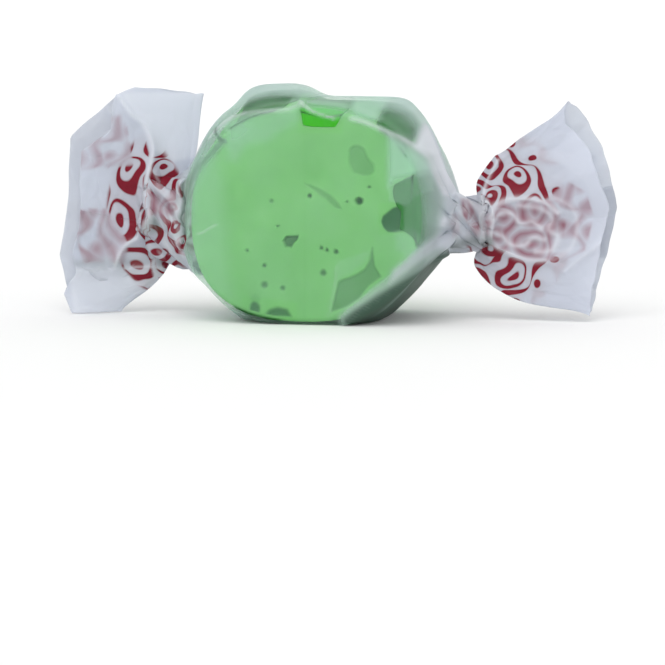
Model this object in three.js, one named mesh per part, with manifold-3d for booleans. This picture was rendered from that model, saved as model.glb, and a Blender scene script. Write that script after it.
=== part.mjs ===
// A chew of salt water taffy in its twisted wax paper, at real size, in millimetres.
// The taffy is a short thick slice of a pulled rope. It lies on its round side, with a cut face
// to the front (-Y), and stripes of dark green jelly run through it from cut face to cut face.
// One sheet of paper goes round it as a tube along X. It is gathered and twisted into a neck at each end,
// and beyond each neck it opens into a fan of two layers, the flattened mouth of the tube.
// The origin is on the surface that the chew lies on, under the middle of the taffy. +X is right, +Z is up.

import * as THREE from "three";
import { mergeVertices } from "three/addons/utils/BufferGeometryUtils.js";
import Module from "manifold-3d";

const wasm = await Module();
wasm.setup();

// The chew as it shows through the paper, out to the paper's outer side
const sliceHalfWidth = 12.75;
const sliceHalfHeight = 11.65;
const sliceDepth = 20.1;
const sliceSquareness = 2.25; // exponent of the superellipse that the rope has settled into
const sliceSides = 56;
const centreHeight = 11.9;
const taffyRimRound = 2;

// Paper: its wall here is several times the real 0.05 mm, so that it is a sound solid.
// It grows inwards, and the taffy is smaller by the wall and the gap, so the outside keeps its real size.
const paperWall = 0.36;
const paperGap = 0.45;
const paperFold = 40; // the higher, the sharper the folds between the facets of paper
const paperRoom = paperWall + paperGap;
const taffyDepth = sliceDepth - 2 * paperRoom;
const rimSlope = 0.36; // how fast the paper leaves the rim of the cut face, going back

// The facets of paper at the shoulders: turn is clockwise from the top in the front view,
// reach is how far the facet is from the middle of the taffy, both at mid depth.
const shoulders = [
  { turn: 0, reach: 12.5 },
  { turn: 38, reach: 15.0 },
  { turn: 65, reach: 14.5 },
  { turn: 118, reach: 13.9 },
  { turn: 134, reach: 13.7 },
  { turn: 180, reach: centreHeight + 0.3 },
  { turn: 224, reach: 14.4 },
  { turn: 252, reach: 14.8 },
  { turn: 289, reach: 15.4 },
  { turn: 324, reach: 15.4 },
];
const endTurn = 13; // the steep facets that close the tube, turned this far from facing along X
const endReach = 15.3;

// The paper stands up in a tent beside the top: turn as above, halfTurn and halfDepth are its spread
const tent = { turn: -20, halfTurn: 15, depth: 2.5, halfDepth: 5.5, height: 1.5 };

// Gathers and necks
const pleatCount = 9;
const pleatUneven = [0.9, 0.7]; // how far the gathers shift once and twice round the tube, in radians
const pleatHeight = 0.45;
const pleatLength = 3.6; // how far the gathers run out over the shoulders
const neckRadius = 3.2; // at the body
const neckTip = 1.9; // radius where the neck opens into its fan
const neckBore = 0.45; // the twisted paper is packed solid round this channel
const neckLength = 1.6; // how far a neck's end stands out past the point that its fan's folds meet at
const neckTwist = THREE.MathUtils.degToRad(70);
const neckPleat = 0.09; // height of the gathers on a neck, as a share of its radius
const neckDrop = 1.3; // how far the necks are below the middle of the taffy

// Where a neck opens into its fan
const throat = 0.75; // half the space between the fan's layers, which grows to mouth at the cut edge
const throatLength = 0.22; // share of the fan's length over which the round neck becomes two layers
const flareFade = 1.5; // exponent by which the flare fades out along the fan
const ribFade = 1.2; // exponent by which the ribs come in along the fan

// Fans. start is how far out the folds of a fan meet. Angles are in the front view, up from the direction
// that the fan points in. Each edge is a straight cut of the sheet: its angle is where it faces, and reach
// is its distance from where the folds meet. flareLow and flareHigh widen the fan near the neck. The ribs
// are its folds: across runs from -1 at the low side to 1 at the high one, and back is how far the paper
// lies back at the cut edge.
const fans = {
  right: {
    side: 1,
    start: 16.9,
    from: -37,
    to: 51,
    flareLow: 72,
    flareHigh: 58,
    edges: [
      { facing: 54, reach: 17.4 },
      { facing: 33, reach: 17.1 },
      { facing: 14, reach: 16.4 },
      { facing: -12, reach: 15.4 },
    ],
    frontShort: 0.9,
    mouth: 1.4,
    forward: -4,
    ribs: [
      { across: -1, back: -2.2 },
      { across: -0.55, back: -0.7 },
      { across: -0.1, back: 0.7 },
      { across: 0.35, back: -0.5 },
      { across: 0.75, back: 0.6 },
      { across: 1, back: 0.1 },
    ],
  },
  left: {
    side: -1,
    start: 18.3,
    from: -64,
    to: 109,
    flareLow: 60,
    flareHigh: 14,
    edges: [
      { facing: 97, reach: 14.6 },
      { facing: 70, reach: 15.0 },
      { facing: 50, reach: 13.9 },
      { facing: 6, reach: 10.6 },
      { facing: -13, reach: 11.8 },
      { facing: -90, reach: 10.4 },
    ],
    frontShort: 1.9,
    mouth: 1.4,
    forward: 14,
    ribs: [
      { across: -1, back: 1.2 },
      { across: -0.62, back: -0.6 },
      { across: -0.2, back: 0.7 },
      { across: 0.2, back: -0.3 },
      { across: 0.56, back: -1.3 },
      { across: 1, back: 1.4 },
    ],
  },
};

// The stripes of jelly: turn is clockwise from the top, as above
const jellyGap = 0.3;
const jellyStripes = [
  { name: "jelly_top", turn: 9, width: 4.2, depth: 2.2 },
  { name: "jelly_upper_right", turn: 39, width: 4.0, depth: 1.8 },
  { name: "jelly_right", turn: 84, width: 6.4, depth: 3.6 },
  { name: "jelly_bottom_left", turn: 207, width: 5.4, depth: 2.4 },
  { name: "jelly_upper_left", turn: 336, width: 5.0, depth: 2.0 },
];

// How finely the paper is divided
const columns = 52;
const bodyRows = 25;
const neckRows = 4;
const fanRows = 7;

const taffyMaterial = new THREE.MeshStandardMaterial({ color: "#9ed696", roughness: 0.55 });
const jellyMaterial = new THREE.MeshStandardMaterial({ color: "#1f8a0c", roughness: 0.3 });
const paperMaterial = new THREE.MeshStandardMaterial({
  color: "#ccd2de",
  roughness: 0.45,
  transparent: true,
  opacity: 0.55,
});

const rad = THREE.MathUtils.degToRad;
const centre = new THREE.Vector3(0, 0, centreHeight);

function triangleWave(angle) {
  return (2 / Math.PI) * Math.asin(Math.sin(angle));
}

// Sharp folds of uneven width round the tube: 1 on a ridge, -1 in a valley.
function pleat(around) {
  const shift = pleatUneven[0] * Math.sin(around + 1) + pleatUneven[1] * Math.sin(2 * around);
  return triangleWave(pleatCount * around + shift);
}

// The planes of the paper's facets, each a unit normal and a distance from the middle of the taffy.
function paperFacets() {
  const facets = [
    { normal: new THREE.Vector3(0, -1, 0), reach: sliceDepth / 2 },
    { normal: new THREE.Vector3(0, 1, 0), reach: sliceDepth / 2 },
  ];
  for (const { turn, reach } of shoulders) {
    facets.push({ normal: new THREE.Vector3(Math.sin(rad(turn)), 0, Math.cos(rad(turn))), reach });
  }
  for (const x of [-1, 1]) {
    for (const y of [-1, 1]) {
      const normal = new THREE.Vector3(x * Math.cos(rad(endTurn)), y * Math.sin(rad(endTurn)), 0);
      facets.push({ normal, reach: endReach });
    }
  }
  return facets;
}

const facets = paperFacets();

// How far the tent lifts the paper in a direction from the middle of the taffy.
function tentLift(direction, reach) {
  const turn = THREE.MathUtils.radToDeg(Math.atan2(direction.x, direction.z)) - tent.turn;
  const depth = direction.y * reach - tent.depth;
  return tent.height * Math.exp(-((turn / tent.halfTurn) ** 4)) * Math.exp(-((depth / tent.halfDepth) ** 4));
}

// Distance from the middle of the taffy to the paper in a direction, with the paper taken in by inset.
// The facets meet in slightly rounded folds. Two cones add the round rims of the cut faces.
function paperReach(direction, inset) {
  let sum = 0;
  for (const { normal, reach } of facets) {
    const closeness = normal.dot(direction) / (reach - inset);
    if (closeness > 0) sum += closeness ** paperFold;
  }
  const width = sliceHalfWidth - inset;
  const height = sliceHalfHeight - inset;
  const across =
    (Math.abs(direction.x / width) ** sliceSquareness + Math.abs(direction.z / height) ** sliceSquareness) **
    (1 / sliceSquareness);
  for (const face of [-1, 1]) {
    const cone = across + (face * direction.y * rimSlope) / width;
    const scale = 1 + (rimSlope * (sliceDepth / 2 - inset)) / width;
    if (cone > 0) sum += (cone / scale) ** paperFold;
  }
  const reach = sum ** (-1 / paperFold);
  return reach + tentLift(direction, reach);
}

const neckAngle = Math.asin(neckRadius / endReach);

// A ring of paper on the body. along goes from 0 at the right neck to 1 at the left one.
function bodyPoint(along, around, inset) {
  const angle = neckAngle + (Math.PI - 2 * neckAngle) * along;
  const direction = new THREE.Vector3(
    Math.cos(angle),
    -Math.sin(angle) * Math.cos(around),
    Math.sin(angle) * Math.sin(around),
  );
  const point = direction.clone().multiplyScalar(paperReach(direction, inset));
  const fromNeck = Math.hypot(point.y, point.z) - neckRadius;
  const nearEnd = THREE.MathUtils.smoothstep(Math.abs(point.x), sliceHalfWidth - 2, endReach - 0.6);
  const gather = pleatHeight * nearEnd * Math.exp(-Math.max(0, fromNeck) / pleatLength);
  point.addScaledVector(direction, gather * pleat(around));
  point.z -= neckDrop * nearEnd;
  point.add(centre);
  point.z = Math.max(point.z, inset);
  return point;
}

// A ring of the neck. along goes from 0 at the body to 1 at the fan, and the paper turns as it goes.
function neckPoint(fan, along, around, inset) {
  const turned = around - fan.side * neckTwist * along;
  const waist = THREE.MathUtils.lerp(neckRadius, neckTip, THREE.MathUtils.smoothstep(along, 0, 0.7));
  const radius = inset > 0 ? neckBore : waist * (1 + neckPleat * pleat(around));
  const bodyEnd = endReach * Math.cos(neckAngle);
  const reach = bodyEnd + (fan.start + neckLength - bodyEnd) * along;
  return new THREE.Vector3(
    fan.side * reach,
    -radius * Math.cos(turned),
    centreHeight - neckDrop + radius * Math.sin(turned),
  );
}

// Distance from the neck to the cut edge of the fan, in the direction up from the way it points.
function fanEdge(fan, up) {
  let nearest = Infinity;
  for (const { facing, reach } of fan.edges) {
    const along = Math.cos(up - rad(facing));
    if (along > 0.05) nearest = Math.min(nearest, reach / along);
  }
  return nearest;
}

// How far back the folds of a fan lie, straight from rib to rib.
function foldBack(ribs, across) {
  const next = Math.max(1, ribs.findIndex((rib) => rib.across >= across));
  const [low, high] = [ribs[next - 1], ribs[next]];
  return THREE.MathUtils.mapLinear(across, low.across, high.across, low.back, high.back);
}

// A ring of the fan. along goes from 0 at the neck to 1 at the cut edge.
function fanPoint(fan, along, around, inset) {
  const turned = around - fan.side * neckTwist;
  const across = Math.sin(turned);
  const middle = rad((fan.from + fan.to) / 2);
  const half = rad((fan.to - fan.from) / 2);
  const edge = fanEdge(fan, middle + half * across) - fan.frontShort * Math.max(0, Math.cos(turned));
  const reach = neckLength + (edge - neckLength) * along;
  const flare = rad(across > 0 ? fan.flareHigh : fan.flareLow) * (1 - along) ** flareFade;
  const wallAngle = inset > 0 ? (1.2 * paperWall) / reach : 0;
  const up = middle + (half + flare - wallAngle) * across;
  const openness = throat + (fan.mouth - throat) * along ** flareFade - inset;
  const layer = -openness * Math.cos(turned);
  const radius = inset > 0 ? neckBore : neckTip * (1 + neckPleat * pleat(around) * (1 - along));
  const ring = new THREE.Vector3(neckLength, -radius * Math.cos(turned), radius * across);
  const open = new THREE.Vector3(
    reach * Math.cos(up),
    layer + foldBack(fan.ribs, across) * along ** ribFade,
    reach * Math.sin(up),
  );
  const point = ring.lerp(open, THREE.MathUtils.smoothstep(along, 0, throatLength));
  const lean = rad(fan.forward) * along;
  const x = point.x * Math.cos(lean);
  const y = point.y - point.x * Math.sin(lean);
  return new THREE.Vector3(fan.side * (fan.start + x), y, Math.max(inset, centreHeight - neckDrop + point.z));
}

// All the rings of the tube, from the cut edge of the right fan to the cut edge of the left one.
function paperRings() {
  const rings = [];
  for (let i = fanRows; i > 0; i--) {
    rings.push((around, inset) => fanPoint(fans.right, i / fanRows, around, inset));
  }
  for (let i = neckRows; i > 0; i--) {
    rings.push((around, inset) => neckPoint(fans.right, i / neckRows, around, inset));
  }
  for (let i = 0; i <= bodyRows; i++) {
    rings.push((around, inset) => bodyPoint(i / bodyRows, around, inset));
  }
  for (let i = 1; i <= neckRows; i++) {
    rings.push((around, inset) => neckPoint(fans.left, i / neckRows, around, inset));
  }
  for (let i = 1; i <= fanRows; i++) {
    rings.push((around, inset) => fanPoint(fans.left, i / fanRows, around, inset));
  }
  return rings;
}

// The sheet as a closed solid: an outer and an inner skin of the same rings, joined at the two cut edges.
function paperGeometry() {
  const rings = paperRings();
  const positions = [];
  for (const inset of [0, paperWall]) {
    for (const ring of rings) {
      for (let j = 0; j < columns; j++) {
        const point = ring((2 * Math.PI * j) / columns, inset);
        positions.push(point.x, point.y, point.z);
      }
    }
  }
  const skin = rings.length * columns;
  const last = (rings.length - 1) * columns;
  const faces = [];
  const quad = (a, b, c, d) => faces.push(a, b, c, a, c, d);
  for (let j = 0; j < columns; j++) {
    const next = (j + 1) % columns;
    for (let row = 0; row < last; row += columns) {
      const [a, b] = [row + j, row + next];
      const [c, d] = [b + columns, a + columns];
      quad(a, b, c, d);
      quad(skin + d, skin + c, skin + b, skin + a);
    }
    quad(skin + j, skin + next, next, j);
    quad(last + j, last + next, skin + last + next, skin + last + j);
  }
  const geometry = new THREE.BufferGeometry();
  geometry.setAttribute("position", new THREE.Float32BufferAttribute(positions, 3));
  geometry.setIndex(faces);
  return geometry;
}

// A point on the outline of the slice, taken in by inset. turn is clockwise from the top.
function sliceOutline(turn, inset) {
  const power = 2 / sliceSquareness;
  const [s, c] = [Math.sin(turn), Math.cos(turn)];
  return new THREE.Vector2(
    (sliceHalfWidth - inset) * Math.sign(s) * Math.abs(s) ** power,
    (sliceHalfHeight - inset) * Math.sign(c) * Math.abs(c) ** power,
  );
}

// The whole slice, with rounded rims and flat where it lies.
function taffyGeometry() {
  const rimSteps = 3;
  const profile = [];
  for (let i = 0; i <= rimSteps; i++) {
    const angle = (Math.PI / 2) * (i / rimSteps);
    profile.push({
      inset: paperRoom + taffyRimRound * (1 - Math.sin(angle)),
      y: -taffyDepth / 2 + taffyRimRound * (1 - Math.cos(angle)),
    });
  }
  for (let i = rimSteps; i >= 0; i--) profile.push({ inset: profile[i].inset, y: -profile[i].y });
  const positions = [0, -taffyDepth / 2, centreHeight];
  for (const { inset, y } of profile) {
    for (let j = 0; j < sliceSides; j++) {
      const outline = sliceOutline((2 * Math.PI * j) / sliceSides, inset);
      positions.push(outline.x, y, Math.max(centreHeight + outline.y, paperRoom));
    }
  }
  positions.push(0, taffyDepth / 2, centreHeight);
  const back = positions.length / 3 - 1;
  const last = 1 + (profile.length - 1) * sliceSides;
  const faces = [];
  for (let j = 0; j < sliceSides; j++) {
    const next = (j + 1) % sliceSides;
    faces.push(0, 1 + next, 1 + j);
    faces.push(back, last + j, last + next);
    for (let row = 1; row < last; row += sliceSides) {
      const [a, b] = [row + j, row + next];
      faces.push(a, b, b + sliceSides, a, b + sliceSides, a + sliceSides);
    }
  }
  const geometry = new THREE.BufferGeometry();
  geometry.setAttribute("position", new THREE.Float32BufferAttribute(positions, 3));
  geometry.setIndex(faces);
  return geometry;
}

function toSolid(geometry) {
  const bare = new THREE.BufferGeometry();
  bare.setAttribute("position", geometry.getAttribute("position"));
  bare.setIndex(geometry.index);
  const merged = mergeVertices(bare, 1e-4);
  return new wasm.Manifold(
    new wasm.Mesh({
      numProp: 3,
      vertProperties: new Float32Array(merged.attributes.position.array),
      triVerts: new Uint32Array(merged.index.array),
    }),
  );
}

function toGeometry(solid) {
  const mesh = solid.getMesh();
  const geometry = new THREE.BufferGeometry();
  geometry.setAttribute("position", new THREE.BufferAttribute(mesh.vertProperties, 3));
  geometry.setIndex(new THREE.BufferAttribute(mesh.triVerts, 1));
  return geometry;
}

// A bar along Y with a rounded inner side. It cuts a stripe, or with grow its groove, out of the slice.
function stripeBar({ turn, width, depth }, grow) {
  const rim = sliceOutline(rad(turn), paperRoom);
  const half = width / 2 + grow;
  const bottom = -depth - grow;
  const outside = 4;
  const corner = Math.min(half, depth) * 0.6;
  const shape = new THREE.Shape();
  shape.moveTo(-half, outside);
  shape.lineTo(-half, bottom + corner);
  shape.quadraticCurveTo(-half, bottom, -half + corner, bottom);
  shape.lineTo(half - corner, bottom);
  shape.quadraticCurveTo(half, bottom, half, bottom + corner);
  shape.lineTo(half, outside);
  const length = taffyDepth + 2;
  const geometry = new THREE.ExtrudeGeometry(shape, { depth: length, bevelEnabled: false, curveSegments: 4 });
  geometry.translate(0, 0, -length / 2);
  geometry.rotateX(Math.PI / 2);
  geometry.rotateY(rad(turn));
  geometry.translate(rim.x, 0, centreHeight + rim.y);
  geometry.deleteAttribute("normal");
  geometry.deleteAttribute("uv");
  return toSolid(mergeVertices(geometry, 1e-4));
}

function part(name, geometry, material) {
  const mesh = new THREE.Mesh(geometry, material);
  mesh.name = name;
  return mesh;
}

const slice = toSolid(taffyGeometry());
let taffy = slice;
const chew = new THREE.Group();
for (const stripe of jellyStripes) {
  chew.add(part(stripe.name, toGeometry(slice.intersect(stripeBar(stripe, 0))), jellyMaterial));
  taffy = taffy.subtract(stripeBar(stripe, jellyGap));
}
chew.add(part("taffy", toGeometry(taffy), taffyMaterial));
chew.add(part("wrapper", paperGeometry(), paperMaterial));

export default chew;
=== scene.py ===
"""A chew of salt water taffy in its twisted wax paper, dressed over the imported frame.

Lengths in this script are in millimetres and angles in degrees, and make_object turns them to metres.
X runs along the tube of paper, a cut face of the taffy looks to the front (-Y), and the floor is z = 0.
"""

import bpy
import numpy as np
from mathutils import Matrix


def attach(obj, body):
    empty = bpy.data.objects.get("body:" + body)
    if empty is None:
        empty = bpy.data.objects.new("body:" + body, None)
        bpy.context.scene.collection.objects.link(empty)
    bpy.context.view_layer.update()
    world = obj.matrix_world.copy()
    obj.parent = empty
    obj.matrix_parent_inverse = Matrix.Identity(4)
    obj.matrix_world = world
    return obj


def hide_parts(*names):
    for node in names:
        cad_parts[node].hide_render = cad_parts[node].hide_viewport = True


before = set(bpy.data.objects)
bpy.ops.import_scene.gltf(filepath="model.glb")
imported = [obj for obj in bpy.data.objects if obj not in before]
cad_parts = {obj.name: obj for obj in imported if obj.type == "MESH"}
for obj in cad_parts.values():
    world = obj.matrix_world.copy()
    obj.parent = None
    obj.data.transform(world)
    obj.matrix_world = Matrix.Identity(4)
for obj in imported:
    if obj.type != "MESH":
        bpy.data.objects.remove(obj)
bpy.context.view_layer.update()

MM = 0.001

# The slice of taffy, out to the paper round it. bulge is what it swells by at the lower left. paper_room
# is the gap to the paper. Near the middle of a face its rings stay round, out to face_grid_core.
half_width = 12.75
half_height = 11.65
slice_depth = 20.1
squareness = 2.25
bulge = {"turn": 230, "half_turn": 24, "height": 0.55}
centre_height = 11.9
paper_room = 0.08
rim_round = 0.55
face_grid_core = 0.6

# How much of the room under the paper the slice fills behind its rims, by the turn from the top, what it
# leaves free, and how far behind the rims that is reached
swell = [
    (-180, 0.0), (-150, 0.7), (-120, 0.9), (-85, 0.75), (-65, 0.4), (-50, 0.6), (-35, 0.85), (50, 0.85),
    (58, 0.4), (66, 0.15), (100, 0.2), (115, 0.6), (135, 0.75), (160, 0.3), (180, 0.0),
]
swell_room = 0.35
swell_length = 2.8

# The sheet of paper. The higher paper_fold is, the more sharply its facets meet. rim_slope is how steeply
# it rises from the rims. Its free edge is at the angle sheet_start, and it overlaps from there.
paper_wall = 0.05
paper_fold = 46
rim_slope = 0.36
sheet_start = -120
overlap = 40
layer_lift = 0.09
floor_gap = 0.06
inner_lift = 0.04

# How clear it is: standing free, touching, in the fans and in the necks, whose borders in x are neck_x,
# and over what gap it fades
clear_free = 0.05
clear_touching = 0.91
clear_fan = 0.07
clear_neck = 0.05
neck_x = ((14.2, 15.4), (18.5, 20.0))
clear_fade = 1.2
clear_power = 1.5

# Its facets round the slice, by the angle from the top, and how far each stands from the middle, and the
# pair at each end. tent is the stretch at the upper left that stands up from the slice.
shoulders = [
    (0, 12.6), (57, 15.1), (70, 14.75), (118, 13.6), (134, 13.4),
    (180, centre_height + 0.3), (232, 13.85), (262, 15.0), (289, 15.4), (324, 15.25),
]
end_turn = 13
end_reach = 15.3
tent = {"turn": -20.7, "half_turn": 14.6, "depth": 2.5, "half_depth": 5.5, "height": 1.5}

# Gathers and necks. neck_drop is how far the necks lie below the middle of the slice. throat is half the
# gap between a fan's layers at its root. mouth_fade and rib_fade say how late the gap and the ribs open.
pleat_count = 9
pleat_uneven = (0.9, 0.7)
pleat_height = 0.45
pleat_length = 3.6
neck_radius = 2.95
neck_length = 1.6
neck_twist = 70
neck_pleat = 0.09
neck_drop = 1.3
neck_tall_fade = 2.0
throat = 0.5
throat_length = 0.22
mouth_fade = 1.5
rib_fade = 1.2
edge_wave = 0.07
fan_pleat = 0.35
fan_pleat_length = 5
seam_swing = 15

# Fans, as in the solids. A fan begins at x = start. Its folds point in the directions from and to at the
# cut edge, and flare_low and flare_high further at its root. It leans forward by an angle. neck_tip is the
# radius of its neck's end, which is taller by the share tall, and mouth is half the gap between its layers
# at the cut edge. edges are the ways that its cuts face, and how far out they are. ribs are how far back
# the fan lies, from -1 at the low fold to 1 at the high one. short is how much shorter than the back layer
# the sheet's front layer is, by the angle round the fan: 0 is the middle of the front layer, 90 the high
# fold, 180 the back layer. The print runs round print_centre, from print_start out, between two angles.
right_fan = {
    "side": 1, "start": 16.9, "from": -37, "to": 53, "forward": -4, "neck_tip": 2.85, "tall": 0.0,
    "mouth": 1.1, "flare_low": 72, "flare_high": 51, "flare_fade": 2.0,
    "print_centre": (16.9, 10.8), "print_start": -0.6, "print_from": -112, "print_to": 112,
    "edges": [(54, 17.4), (33, 16.4), (14, 15.7), (-12, 15.0)],
    "ribs": [(-1, -2.2), (-0.55, -0.7), (-0.1, 0.7), (0.35, -0.5), (0.75, 0.6), (1, 0.1)],
    "short": [(-90, 0.2), (-40, 0.6), (0, 0.8), (40, 1.4), (62, 2.0), (90, 0.6), (120, 0), (270, 0.2)],
}
left_fan = {
    "side": -1, "start": 18.3, "from": -64, "to": 107, "forward": 14, "neck_tip": 2.35, "tall": 0.85,
    "mouth": 1.1, "flare_low": 60, "flare_high": 24, "flare_fade": 1.5,
    "print_centre": (-13.2, 11.3), "print_start": 1.2, "print_from": -62, "print_to": 52,
    "edges": [(97, 14.6), (70, 15.1), (50, 14.1), (6, 11.6), (-13, 12.7), (-90, 10.75)],
    "ribs": [(-1, 1.2), (-0.62, -0.6), (-0.2, 0.7), (0.2, -0.3), (0.56, -1.3), (1, 1.4)],
    "short": [(-90, 0.3), (-43, 0.3), (-39, 2.2), (-25, 2.4), (0, 2.3), (29, 2.9), (35, 0.2), (90, 0.1),
              (270, 0.3)],
}

lower_right_crease = [
    (4.1, 1.0), (6.5, 2.6), (8.5, 4.0), (10.1, 5.1), (11.3, 6.1), (12.4, 7.0), (13.6, 7.9), (15.4, 9.2),
]

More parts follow.
